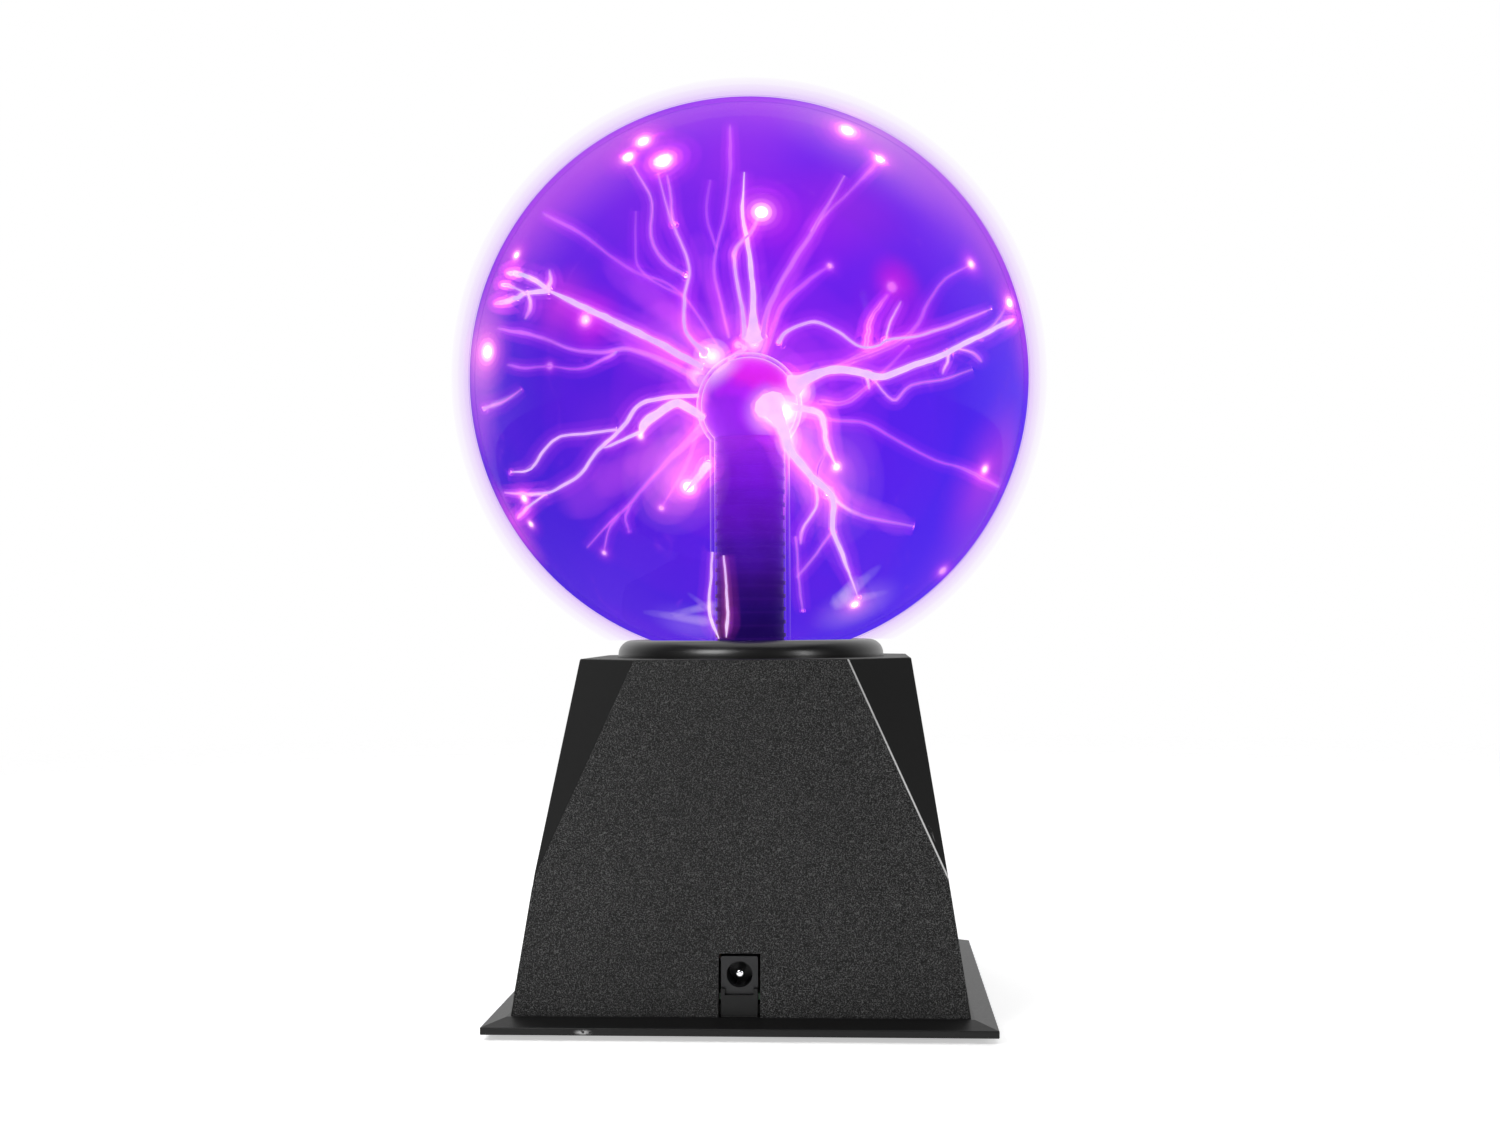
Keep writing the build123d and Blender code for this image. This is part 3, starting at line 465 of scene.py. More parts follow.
def stem_glass():
    """Glass tube and bulb with a painted glow along the edge round the bulb and down the tube's upper part,
    stronger towards the bulb.
    """
    s = Shader("stem_glass")
    above = s.math("SUBTRACT", s.parts(s.place())["Z"], stem_low[2])
    up = s.math("DIVIDE", above, BULB_CENTER.z - stem_low[2])
    rim = s.math("POWER", s.add("LayerWeight", Blend=0.5).outputs["Facing"], 8.0)
    lit = s.ramp(up, (0.30, 0.04), (0.72, 0.18), (0.86, 0.8), (1.0, 1.0))
    rim = s.math("MULTIPLY", rim, 3.5, clamp=True)
    # Painted glow: emission along the glass's edge, scaled by height towards the bulb.
    painted_rim_glow = s.math("MULTIPLY", rim, lit)
    return s.finish(s.blend(painted_rim_glow, s.clear((0.96, 0.94, 0.98, 1)), s.light(rgb(252, 222, 252))))


def glowing_metal(s, colour):
    """Dark electrode metal with the colour given off as emission, a painted glow."""
    shader = s.add(
        "BsdfPrincipled", Base_Color=(0.02, 0.01, 0.05, 1), Roughness=0.5, Metallic=0.3,
        Emission_Color=colour, Emission_Strength=1.0,
    )
    return s.finish(shader.outputs[0])


def sleeve_metal():
    """Ribbed sleeve with painted light from the bulb down: painted glow violet at the top, navy at the foot.
    """
    s = Shader("electrode_sleeve")
    above = s.math("SUBTRACT", s.parts(s.place())["Z"], sleeve_low[2])
    up = s.math("DIVIDE", above, sleeve_high[2] - sleeve_low[2])
    colour = s.ramp(
        up, (0.28, rgb(33, 12, 92)), (0.42, rgb(42, 17, 112)), (0.58, rgb(72, 26, 165)),
        (0.74, rgb(98, 28, 200)), (0.90, rgb(116, 30, 222)), (1.0, rgb(132, 34, 234)),
    )
    rib_highlight = s.math("PINGPONG", s.math("DIVIDE", above, RIB_PITCH), 0.5)
    rib_highlight = s.ramp(rib_highlight, (0.36, 0.0), (0.5, 1.0))
    mottle = s.noise(s.place(), 90, 4, 0.6)
    colour = s.mix(1.0, colour, s.ramp(mottle, (0.3, 0.80), (0.7, 1.0)), "MULTIPLY")
    # Faint painted highlight on each rib.
    colour = s.mix(s.math("MULTIPLY", rib_highlight, 0.03), colour, rgb(170, 80, 245))
    return glowing_metal(s, colour)


def cap_metal():
    """Lining of the bulb with a painted glow: magenta above, violet low on the left, white where streamers
    stand on it.
    """
    s = Shader("electrode_cap")
    place = s.place()
    parts = s.parts(s.vector("SUBTRACT", place, tuple(BULB_CENTER)))
    up = s.math("DIVIDE", parts["Z"], BULB_RADIUS)
    lean = s.math("MULTIPLY_ADD", s.math("DIVIDE", parts["X"], BULB_RADIUS), 0.35, up)
    mottle = s.noise(place, 110, 4, 0.6)
    lean = s.math("ADD", lean, s.math("MULTIPLY_ADD", mottle, 0.7, -0.35))
    colour = s.ramp(
        s.math("MULTIPLY_ADD", lean, 0.5, 0.5), (0.10, rgb(104, 24, 220)), (0.42, rgb(124, 24, 228)),
        (0.58, rgb(168, 26, 240)), (0.76, rgb(228, 28, 230)),
    )
    for spot, radius, tone in CAP_SPOTS:
        at = BULB_CENTER + Vector(spot).normalized() * BULB_RADIUS
        colour = s.mix(near(s, place, at, radius * MM), colour, rgb(*tone))
    return glowing_metal(s, colour)


# ---------------------------------------------------------------- meshes


def add_mesh(name, points, faces, material, heat=None, smooth=True):
    mesh = bpy.data.meshes.new(name)
    mesh.from_pydata([tuple(p) for p in points], [], faces)
    mesh.update()
    if heat is not None:
        layer = mesh.attributes.new("core_heat", "FLOAT", "POINT")
        layer.data.foreach_set("value", heat)
    if smooth:
        mesh.polygons.foreach_set("use_smooth", [True] * len(mesh.polygons))
    piece = bpy.data.objects.new(name, mesh)
    piece.data.materials.append(material)
    bpy.context.scene.collection.objects.link(piece)
    return piece


def lathe(profile, segments):
    """Points and faces of a profile of (radius, height) turned about Z. Radius 0 ends close to a point."""
    points, rings, faces = [], [], []
    for radius, height in profile:
        if radius < 1e-7:
            rings.append([len(points)] * segments)
            points.append((0, 0, height))
            continue
        rib_highlight = []
        for i in range(segments):
            angle = 2 * math.pi * i / segments
            rib_highlight.append(len(points))
            points.append((radius * math.cos(angle), radius * math.sin(angle), height))
        rings.append(rib_highlight)
    for low, high in zip(rings, rings[1:]):
        for i in range(segments):
            j = (i + 1) % segments
            corner = [low[i], low[j], high[j], high[i]]
            face = [v for k, v in enumerate(corner) if v != corner[k - 1]]
            if len(face) > 2:
                faces.append(face)
    return points, faces


def ball_profile(radius, steps, start=-math.pi / 2):
    """Arc up to the top pole, from the bottom one unless a start angle is given."""
    angles = [start + (math.pi / 2 - start) * i / steps for i in range(steps + 1)]
    return [(max(radius * math.cos(a), 0.0), radius * math.sin(a)) for a in angles]


class Gathered:
    """Several closed shapes collected into one mesh, with a heat value at each point."""

    def __init__(self):
        self.points, self.faces, self.heat = [], [], []

    def take(self, points, faces, heat):
        first = len(self.points)
        self.points.extend(points)
        self.faces.extend([[v + first for v in face] for face in faces])
        self.heat.extend(heat if isinstance(heat, list) else [heat] * len(points))

    def build(self, name, material):
        return add_mesh(name, self.points, self.faces, material, self.heat)


def tube(path, radii, sides):
    """A closed round tube along a path, with its own radius at each point."""
    points, faces = [], []
    ahead = (path[1] - path[0]).normalized()
    side = ahead.orthogonal().normalized()
    for i, spot in enumerate(path):
        after = path[min(i + 1, len(path) - 1)]
        before = path[max(i - 1, 0)]
        ahead = (after - before).normalized()
        side = (side - ahead * side.dot(ahead)).normalized()
        other = ahead.cross(side)
        for k in range(sides):
            angle = 2 * math.pi * k / sides
            points.append(spot + (side * math.cos(angle) + other * math.sin(angle)) * radii[i])
    for i in range(len(path) - 1):
        for k in range(sides):
            j = (k + 1) % sides
            low, high = i * sides, (i + 1) * sides
            faces.append([low + k, low + j, high + j, high + k])
    last = (len(path) - 1) * sides
    faces.append(list(reversed(range(sides))))
    faces.append([last + k for k in range(sides)])
    return points, faces


# ---------------------------------------------------------------- streamers

PATH_STEP = 0.9 * MM
WANDER = 0.35 * MM
FOOT_LENGTH = 3.5 * MM
CORE_SIDES = 10
# Layers of gas round each core, from the inside out: times the core's half width, and more millimetres.
GAS_LAYERS = ((1.25, 0.25), (2.0, 0.9), (3.4, 2.2))


def seen_at(x, z, depth):
    """The point that the camera sees at (x, z) on the globe's middle plane, moved to a depth in y.
    Takes millimetres."""
    flat = GLOBE_CENTER + Vector((x, 0, z)) * MM
    share = (depth * MM - CAMERA_SPOT.y) / (flat.y - CAMERA_SPOT.y)
    return CAMERA_SPOT + (flat - CAMERA_SPOT) * share


def wall_depth(x, z, side):
    """Depth in y at which the sight line through (x, z) meets the globe's inner wall."""
    reach = STREAMER_REACH / MM
    depth = 0.0
    for _ in range(6):
        spot = (seen_at(x, z, depth) - GLOBE_CENTER) / MM
        left = reach**2 - spot.x**2 - spot.z**2
        depth = side * math.sqrt(max(left, 0.0))
    return depth


def smooth_path(spots):
    """Catmull-Rom curve through the spots, in short even steps."""
    ends = [spots[0] * 2 - spots[1]] + spots + [spots[-1] * 2 - spots[-2]]
    path = []
    for a, b, c, d in zip(ends, ends[1:], ends[2:], ends[3:]):
        count = max(2, int((c - b).length / PATH_STEP))
        bend, twist = 2 * a - 5 * b + 4 * c - d, 3 * b - a - 3 * c + d
        for i in range(count):
            t = i / count
            path.append(0.5 * (2 * b + (c - a) * t + bend * t**2 + twist * t**3))
    path.append(spots[-1].copy())
    return path


def kept_inside(spot):
    away = spot - GLOBE_CENTER
    if away.length > STREAMER_REACH:
        spot = GLOBE_CENTER + away.normalized() * STREAMER_REACH
    return spot


def shaken(path, seed):
    """Small sideways wander, none at the two ends."""
    moved = []
    for i, spot in enumerate(path):
        share = i / (len(path) - 1)
        hold = min(1.0, 6 * share, 6 * (1 - share))
        slow = noise.noise_vector(spot * 130 + Vector((seed, 0, 0)))
        fast = noise.noise_vector(spot * 520 + Vector((0, seed, 0)))
        moved.append(kept_inside(spot + (slow * 0.9 + fast * 0.35) * WANDER * hold))
    return moved


class Streamer(NamedTuple):
    """One bright thread. Spots are (x, z) as seen at the globe's middle plane, in millimetres. The depth
    is a share of the way to the near wall (-1) or the far wall (+1). Depth, width and heat go from start
    to end, and the flare widens the foot."""

    spots: list
    depth: tuple
    width: tuple
    heat: tuple
    flare: float = 0.0


STREAMERS = [
    # upper left, bright, with its forks
    Streamer([(-12.7, 4.1), (-29.6, 13.4), (-42.2, 19.7), (-55.4, 26)],
             (-0.1, -0.5), (2.3, 1.9), (0.85, 0.85)),
    Streamer([(-54.5, 25.6), (-58.6, 28.8), (-62.2, 30.2), (-67, 31)], (-0.5, -1.0), (1.5, 0.6), (0.85, 0.5)),
    Streamer([(-55, 25.9), (-53.8, 28.2), (-54.3, 31.3)], (-0.5, -0.8), (1.4, 0.5), (0.85, 0.5)),
    Streamer([(-54.5, 25.6), (-60.7, 25), (-64, 23.5), (-70, 22.4)], (-0.5, -1.0), (1.5, 0.5), (0.85, 0.4)),
    Streamer([(-60.4, 25), (-59.4, 21.5), (-61, 18)], (-0.6, -0.9), (0.9, 0.6), (0.8, 0.4)),
    Streamer([(-60.7, 25), (-65, 27), (-70, 28.5)], (-0.7, -1.0), (0.7, 0.5), (0.6, 0.3)),
    # left, pink
    Streamer([(-13, 0.7), (-23.3, 5.8), (-32.8, 9.2), (-40, 8.4), (-48.6, 9.6), (-58, 13.2), (-68.6, 15.5)],
             (0.0, 1.0), (1.5, 0.6), (0.55, 0.45), 1.6),
    Streamer([(-36, 8.6), (-40, 6.5), (-45.9, 4.1), (-54.3, 5)], (0.3, 1.0), (0.8, 0.6), (0.6, 0.3)),
    Streamer([(-54, 5), (-60, 4.6), (-66, 5.5)], (0.9, 1.0), (0.5, 0.4), (0.3, 0.2)),
    # upper left, thin and pink
    Streamer([(-8.5, 10), (-19.1, 25), (-30, 30), (-37, 34.4), (-45.4, 40.8), (-57.5, 48)],
             (0.2, 1.0), (0.5, 0.7), (0.3, 0.45)),
    # up and left
    Streamer([(-12, 8), (-17.2, 14), (-17.5, 22.9), (-16.1, 31.3), (-19.1, 39.7), (-21.5, 46), (-24.5, 57)],
             (-0.1, -1.0), (1.3, 0.5), (0.75, 0.45), 1.2),
    Streamer([(-20.3, 43), (-21, 50), (-22, 56.6)], (-0.6, -0.9), (0.6, 0.4), (0.5, 0.4)),
    Streamer([(-17, 29), (-23, 33), (-26.4, 40), (-26.4, 50), (-31.7, 60)],
             (-0.4, -1.0), (0.6, 0.5), (0.35, 0.5)),
    Streamer([(-17, 22.9), (-27, 28.5), (-30.6, 34), (-30.6, 47)], (0.3, 1.0), (0.5, 0.3), (0.3, 0.25)),
    # up
    Streamer([(-5.4, 12), (-7.5, 21), (-9.5, 30), (-8.5, 37), (-6.4, 46), (-4.8, 57), (-4.8, 70)],
             (0.2, 0.9), (0.8, 0.5), (0.5, 0.4)),
    Streamer([(-8.7, 36), (-11.5, 46), (-10.2, 55)], (0.5, 0.9), (0.5, 0.4), (0.35, 0.2)),
    Streamer([(1.2, 12), (1.2, 25), (-0.3, 37.6), (-1.4, 46), (-1.0, 57)],
             (-0.1, -0.8), (2.0, 0.8), (1.0, 0.8), 2.2),
    Streamer([(-1.0, 12), (-2.2, 22), (-3.8, 32), (-3.2, 36), (0.9, 41), (3.4, 46)],
             (-0.1, -0.9), (1.3, 0.7), (0.75, 0.45), 1.0),
    # up and right
    Streamer([(3.6, 12), (6.2, 22), (12.5, 33), (18.9, 43), (26.2, 55.5)],
             (-0.1, -0.9), (1.2, 0.5), (0.5, 0.4), 0.8),
    Streamer([(17, 40.5), (22, 46), (30.4, 54), (35, 59)], (0.5, 1.0), (0.6, 0.4), (0.5, 0.3)),
    # right, the high loop
    Streamer([(8, 10.5), (10.4, 13.4), (17.8, 15.9), (24.1, 13.2), (29.4, 9.4), (34.7, 9.2), (37.8, 10.8),
              (48.3, 12.3), (65.2, 18.6)], (-0.1, -0.6), (1.1, 0.6), (0.8, 0.5), 0.6),
    Streamer([(36.8, 10.4), (38.2, 15.5), (41, 21)], (-0.3, -0.7), (0.6, 0.4), (0.7, 0.5)),
    Streamer([(31.5, 8.6), (33, 16.5), (37.5, 22.9)], (-0.3, 1.0), (0.9, 0.6), (0.4, 0.3)),
    # right, the main one
    Streamer([(12.0, -1.2), (18, 1.6), (24, 3.0), (30.4, 1.8), (35.7, 0.9), (43.1, 3.2), (52.6, 6.6),
              (59.9, 10.4), (68.4, 14.4), (72.4, 16)], (-0.1, -0.6), (2.7, 1.0), (1.0, 0.8), 1.6),
    Streamer([(53.6, 7.1), (53.2, 4.2), (52, 1.3)], (-0.3, -0.6), (0.9, 0.4), (0.85, 0.5)),
    Streamer([(56, 8.2), (60.4, 6.4), (62.5, 4.4)], (-0.3, -0.6), (0.7, 0.6), (0.6, 0.4)),
    Streamer([(62, 11.2), (66, 14.5), (69, 19)], (-0.4, -0.8), (0.8, 0.5), (0.6, 0.4)),
    Streamer([(31.8, 1.2), (32.4, -2.6)], (-0.15, -0.3), (1.0, 0.5), (0.9, 0.6)),
    Streamer([(33.5, 0.2), (38.9, -5.6), (43.1, -1.9), (51.5, -0.3), (60, 2.4)],
             (-0.2, -0.8), (0.6, 0.5), (0.6, 0.3)),
    Streamer([(23.1, 3.4), (38.9, 9.2), (45.2, 14.4), (48.3, 20.7), (53, 27), (59.4, 30.5)],
             (0.1, 1.0), (1.0, 0.6), (0.4, 0.45)),
    Streamer([(24, 3.4), (37, 9.6), (50, 13), (64, 18)], (0.1, 0.9), (1.4, 0.8), (0.35, 0.4)),
    Streamer([(19, -5.8), (26, -6), (31, -2.6), (36, 2), (43, 9)], (0.1, 0.8), (1.2, 0.5), (0.3, 0.25)),
    # right and low, faint
    Streamer([(14.5, -9.4), (23.1, -10.8), (31.5, -11.8), (38.9, -16.1), (49.4, -21.8), (57.8, -24.5),
              (68.5, -30)],
             (0.1, 1.0), (0.8, 0.4), (0.35, 0.2)),
    # lower right, bright
    Streamer([(5.6, -6.5), (8.6, -12), (11.2, -18.5), (16.2, -25.4), (21.4, -30.4), (22.4, -34),
              (22.2, -40.5), (25.2, -48), (28.9, -58.6)], (-0.2, -1.0), (3.6, 0.6), (1.0, 0.6), 1.8),
    Streamer([(21, -30.2), (25, -34), (31, -36.8), (44, -39.6)], (-0.4, -1.0), (1.2, 0.3), (0.85, 0.2)),
    Streamer([(17.8, -27.5), (18, -33.5), (14.2, -40), (13.6, -44)], (-0.4, -0.9), (1.0, 0.6), (0.8, 0.45)),
    Streamer([(12, -7.2), (18.6, -8.6), (20, -12.5), (20.8, -17.5), (23.2, -22.8)],
             (-0.2, -0.9), (2.0, 1.0), (0.95, 0.8)),
    Streamer([(21, -18), (18.4, -23.5), (18, -27)], (-0.5, -0.5), (0.6, 0.5), (0.5, 0.4)),
    Streamer([(22.2, -40.5), (17, -48), (12.5, -53)], (-0.6, -0.9), (0.5, 0.3), (0.35, 0.15)),
    # left, the two pale arcs and their forks
    Streamer([(-13.8, -3.6), (-23.3, -4.2), (-30, -6.0), (-33.4, -10.4), (-37, -14.4), (-41.5, -18.6),
              (-46, -24.6), (-50.5, -27.6), (-56.5, -29.8), (-68, -30)],
             (-0.15, -0.8), (1.4, 0.6), (0.95, 0.55)),
    Streamer([(-55.5, -29.8), (-60, -33.2), (-65, -37.4)], (-0.6, -0.9), (0.7, 0.5), (0.7, 0.5)),
    Streamer([(-36, -12.6), (-45, -13.6), (-51.7, -14.4), (-55.4, -17.1), (-58.5, -22), (-60.6, -23.6),
              (-65, -23.8)], (-0.4, -0.9), (0.9, 0.8), (0.7, 0.7)),
    Streamer([(-12.6, -9.6), (-17.4, -6.4), (-20.6, -5.8), (-25.2, -8.8), (-28.4, -11.2), (-29.6, -14.2)],
             (-0.15, -0.5), (2.4, 2.8), (1.0, 0.95)),
    Streamer([(-29.8, -13.4), (-35, -15.6), (-39.6, -17.6)], (-0.5, -0.6), (1.1, 0.8), (0.9, 0.7)),
    # lower left, pink
    Streamer([(-11, -11), (-19.1, -18.2), (-25.4, -24.5), (-31.7, -31.9), (-38, -37.8), (-44.3, -44.6)],
             (0.1, 1.0), (1.8, 0.5), (0.5, 0.4), 1.6),
    Streamer([(-32.4, -33), (-33.8, -36.5), (-32.8, -40.4)], (0.5, 0.8), (0.6, 0.3), (0.4, 0.25)),
    Streamer([(-35.4, -35.6), (-38.5, -40), (-39.6, -45.6)], (0.6, 1.0), (0.6, 0.4), (0.4, 0.5)),
    Streamer([(-11.4, -22.4), (-13.6, -25.4), (-17.4, -29.6)], (-0.3, -0.9), (2.0, 0.9), (1.0, 0.6)),
    # beside the foot of the stem
    Streamer([(-10.2, -46), (-10.7, -54), (-11.2, -62), (-8.6, -69.3)],
             (-0.25, -0.3), (0.7, 1.1), (0.8, 1.0)),
    Streamer([(-7.2, -47), (-6.4, -56), (-6.2, -63), (-6.6, -69)], (-0.3, -0.3), (0.6, 1.1), (0.8, 1.0)),
    Streamer([(12.2, -42), (12.9, -48), (13.2, -54), (14, -62)], (-0.5, -0.5), (0.4, 0.3), (0.3, 0.2)),
    Streamer([(-72.5, -6.4), (-67, -4.4), (-62, -1.2)], (-0.5, -0.3), (1.0, 0.4), (0.6, 0.3)),
    # behind the electrode, for the other sides
    Streamer([(3, 4), (9, 20), (16, 27), (22, 31)], (0.25, 1.0), (1.6, 0.7), (0.45, 0.45)),
    Streamer([(-4, 4), (-12, -2), (-16, -20), (-24, -34)], (0.25, 1.0), (1.6, 0.7), (0.45, 0.45)),
    Streamer([(6, -8), (10, -18), (9, -36), (6, -52)], (0.25, 1.0), (1.4, 0.7), (0.4, 0.4)),
    Streamer([(2, -6), (4, -16), (-2, -28), (3, -44)], (0.3, 1.0), (2.0, 0.9), (0.95, 0.8), 1.6),
    Streamer([(-3, 2), (-5, 6), (-1, 9), (-3, 10)], (0.3, 1.0), (2.0, 0.9), (0.95, 0.8), 1.6),
]

# Soft bright patches where streamers meet the glass: (x, z, depth, radius, whiteness from 0 to 1).
WALL_SPOTS = [
    (-23.0, 60.4, -1, 3.0, 1.0), (-32.6, 61.6, -1, 2.2, 1.0), (-28.5, 66, -1, 2.8, 0.8),
    (35.7, 59.7, -1, 2.2, 0.8), (27.3, 68.4, -1, 3.2, 1.0), (59.9, 30.8, 1, 2.0, 1.0),
    (70.8, 20.4, -1, 2.6, 0.6), (-63.4, 35.5, -1, 1.7, 1.0), (-71.4, 9.1, -1, 3.2, 0.8),
    (-44.5, 17.5, 1, 3.6, 0.3), (38.6, 25, 1, 2.8, 0.0), (3.6, 46, -1, 3.2, 0.8),
    (-54.3, 5, 1, 2.0, 0.0), (23.4, -23.4, -1, 1.9, 0.8), (28, -60.4, -1, 2.2, 0.5),
    (-61.4, -31, 1, 2.6, 0.4), (-59.6, -38, 1, 2.0, 0.3), (63, -24.5, 1, 2.6, 0.3),
    (-29.6, -14.4, -0.5, 1.6, 1.0),
    (-39.6, -46, 1, 1.6, 0.5), (-16.6, -28.4, -0.6, 3.4, 0.4), (22, 31, 1, 2.0, 0.3), (-24, -34, 1, 2.0, 0.3),
    (6, -52, 1, 2.0, 0.3), (3, -44, 1, 2.4, 0.8), (-3, 10, 1, 2.4, 0.8), (52, -52, 1, 2.0, 0.2),
]

# Broad faint bands of lit gas: start (x, z), end (x, z), start and end depth, start and end width.
FANS = [
    ((-12, -12), (-50, -33), (0.1, 0.9), (6, 16)),
    ((-9, 8), (-38, 33), (0.1, 0.9), (7, 10)),
    ((-13, 4), (-40, 17), (0.2, 0.9), (8, 10)),
    ((-6, 12), (-14, 40), (0.1, 0.8), (6, 7)),
    ((4, 12), (20, 46), (0.1, 0.8), (5, 7)),
    ((14, -1), (40, 10), (0.2, 0.8), (4, 7)),
    ((14, -8), (34, -2), (0.1, 0.6), (7, 4)),
    ((-10, -16), (-24, -34), (0.0, -0.6), (6, 16)),
    ((12, -16), (22, -36), (0.0, -0.6), (8, 14)),
    ((20, -28), (42, -40), (-0.2, -0.8), (4, 8)),
]

# Pale wisps low on the glass, in the same form.
WISPS = [
    ((22, -61), (35, -50), (-0.9, -0.9), (5.0, 1.6)),
    ((24, -60), (29, -53), (-0.9, -0.9), (5.0, 2.4)),
    ((24, -60), (37, -57), (-0.9, -0.9), (3.6, 1.2)),
    ((-9, -60), (-22, -63), (-0.9, -0.9), (3.0, 1.6)),
    ((-9, -63), (-17, -57), (-0.9, -0.9), (2.4, 1.0)),
    ((-10, -65), (-29, -62), (-0.9, -0.9), (3.4, 1.6)),
    ((-71, -6), (-62, -2), (-0.5, -0.4), (2.4, 1.2)),
]


def placed(x, z, depth):
    """The point seen at (x, z), at a depth given as a share of the way to the near or far wall."""
    wall = wall_depth(x, z, 1 if depth > 0 else -1)
    return kept_inside(seen_at(x, z, wall * abs(depth)))


def streamer_path(streamer, number):
    last = len(streamer.spots) - 1
    start, end = streamer.depth
    path = [placed(x, z, start + (end - start) * i / last) for i, (x, z) in enumerate(streamer.spots)]
    return shaken(smooth_path(path), number * 3.1)


def streamer_widths(streamer, path):
    """Half widths along the path: a steady taper to a fine tip, a wide foot on the electrode and a ripple."""
    first, last = (w * 0.5 * MM for w in streamer.width)
    travelled, widths = 0.0, []
    for i, spot in enumerate(path):
        if i:
            travelled += (spot - path[i - 1]).length
        share = i / (len(path) - 1)
        foot = 1 + streamer.flare * math.exp(-travelled / FOOT_LENGTH)
        ripple = 1 + 0.18 * noise.noise(spot * 300)
        fade = 0.3 + 0.7 * min(1.0, (1 - share) * 6)
        widths.append((first + (last - first) * share) * foot * ripple * fade * 0.85)
    return widths


def make_streamers():
    """The cores, and then the layers of gas nested round them."""
    layers = [Gathered() for _ in range(1 + len(GAS_LAYERS))]
    for number, streamer in enumerate(STREAMERS):
        path = streamer_path(streamer, number)
        widths = streamer_widths(streamer, path)
        count = len(path)
        first, last = streamer.heat
        heat = [first + (last - first) * i / (count - 1) for i in range(count)]
        radii = [w * (0.55 + 0.45 * h) for w, h in zip(widths, heat)]
        layers[0].take(*tube(path, radii, CORE_SIDES), [h for h in heat for _ in range(CORE_SIDES)])
        sparse = path[::3] + path[-1:]
        for layer, (times, more) in zip(layers[1:], GAS_LAYERS):
            radii = [w * times + more * MM for w in widths]
            layer.take(*tube(sparse, radii[::3] + radii[-1:], 12), 0.5)
    return layers


def make_spots():
    """Layers of gas, flattened against the glass. The pinkest spots have no innermost one."""
    layers = [Gathered() for _ in SPOT_STEPS]
    for x, z, depth, radius, white in WALL_SPOTS:
        for number, (layer, times) in enumerate(zip(layers, SPOT_STEPS)):
            if white > 0.2 or number:
                take_blob(layer, placed(x, z, depth), radius * times * (0.75 + 0.35 * white) * MM)
    return layers


def take_blob(gathered, spot, radius):
    """A ball squashed against the wall."""
    outward = (spot - GLOBE_CENTER).normalized()
    turn = outward.to_track_quat("Z", "Y").to_matrix()
    points, faces = lathe(ball_profile(radius, 12), 20)
    gathered.take([turn @ Vector((p[0], p[1], p[2] * 0.6)) + spot for p in points], faces, 0.5)


def make_bands(bands):
    """Three lengths of each band, one inside the other, so that it fades along its length."""
    layers = [Gathered() for _ in range(3)]
    for (x0, z0), (x1, z1), depth, width in bands:
        start, end = placed(x0, z0, depth[0]), placed(x1, z1, depth[1])
        for k, layer in enumerate(layers):
            first, last = 0.08 - 0.04 * k, 0.55 + 0.225 * k
            shares = [first + (last - first) * i / 8 for i in range(9)]
            path = [start + (end - start) * share for share in shares]
            slim = 0.6 + 0.2 * k
            radii = [(width[0] + (width[1] - width[0]) * share) * 0.5 * slim * MM for share in shares]
            radii[0] *= 0.5
            radii[-1] *= 0.6
            layer.take(*tube(path, radii, 20), 0.5)
    return layers


# ---------------------------------------------------------------- build the looks


def dress(node, material):
    for slot in nodes[node].material_slots:
        slot.material = material


def dress_cad_nodes():
    screw = metal("zinc_screw", (0.55, 0.55, 0.56), 0.32)
    black = moulded("black_epoxy", (0.02, 0.02, 0.02), 0.5)
    chrome = metal("bright_contact", (0.85, 0.85, 0.87), 0.12)
    steel = metal("tin_plate", (0.60, 0.60, 0.61), 0.35)
    aluminium = metal("extruded_aluminium", (0.72, 0.72, 0.74), 0.35)
    rubber = moulded("black_rubber", (0.022, 0.022, 0.022), 0.75, 700, 0.05)
    wire = moulded("red_insulation", (0.45, 0.03, 0.025), 0.4)
    finishes = {
        "housing": housing_plastic(),
        "base_plate": plate_plastic(),
        "collar": collar_plastic(),
        "feet": rubber,
        "globe_gasket": rubber,
        "base_screws": screw,
        "collar_screws": screw,
        "board_screws": screw,
        "switch_screws": screw,
        "contact_rod": metal("brass_rod", (0.80, 0.55, 0.22), 0.25),
        "inlet_pin": chrome,
        "inlet_contact": chrome,
        "stem_plug": moulded("natural_nylon", (0.75, 0.72, 0.62), 0.4),
        "neck_sealant": moulded("silicone_bead", (0.6, 0.6, 0.6), 0.45),
        "high_voltage_lead": wire,
        "switch_leads": wire,
        "circuit_board": board_laminate(),
        "transformer_core": moulded("ferrite", (0.05, 0.05, 0.055), 0.6, 900, 0.05),
        "transformer_bobbin": black,
        "transformer_winding": moulded("winding_tape", (0.72, 0.52, 0.05), 0.35),
        "heatsink": aluminium,
        "power_transistor": black,
        "oscillator_chip": black,
        "electrolytic_capacitors": moulded("capacitor_sleeve", (0.02, 0.03, 0.12), 0.3),
        "film_capacitor": moulded("film_resin", (0.42, 0.06, 0.03), 0.3),
        "resistors": moulded("resistor_lacquer", (0.55, 0.42, 0.25), 0.35),
        "microphone": aluminium,
        "inlet_body": moulded("inlet_black", (0.009, 0.009, 0.010), 0.38),
        "switch_bracket": steel,
        "switch_base": moulded("phenolic", (0.10, 0.05, 0.02), 0.5),
        "switch_terminals": chrome,
        "switch_knob": moulded("knob_black", (0.02, 0.02, 0.02), 0.4),
        "electrode_stem": stem_glass(),
        "electrode_sleeve": sleeve_metal(),
        "electrode_cap": cap_metal(),
    }
    for node, material in finishes.items():
        dress(node, material)


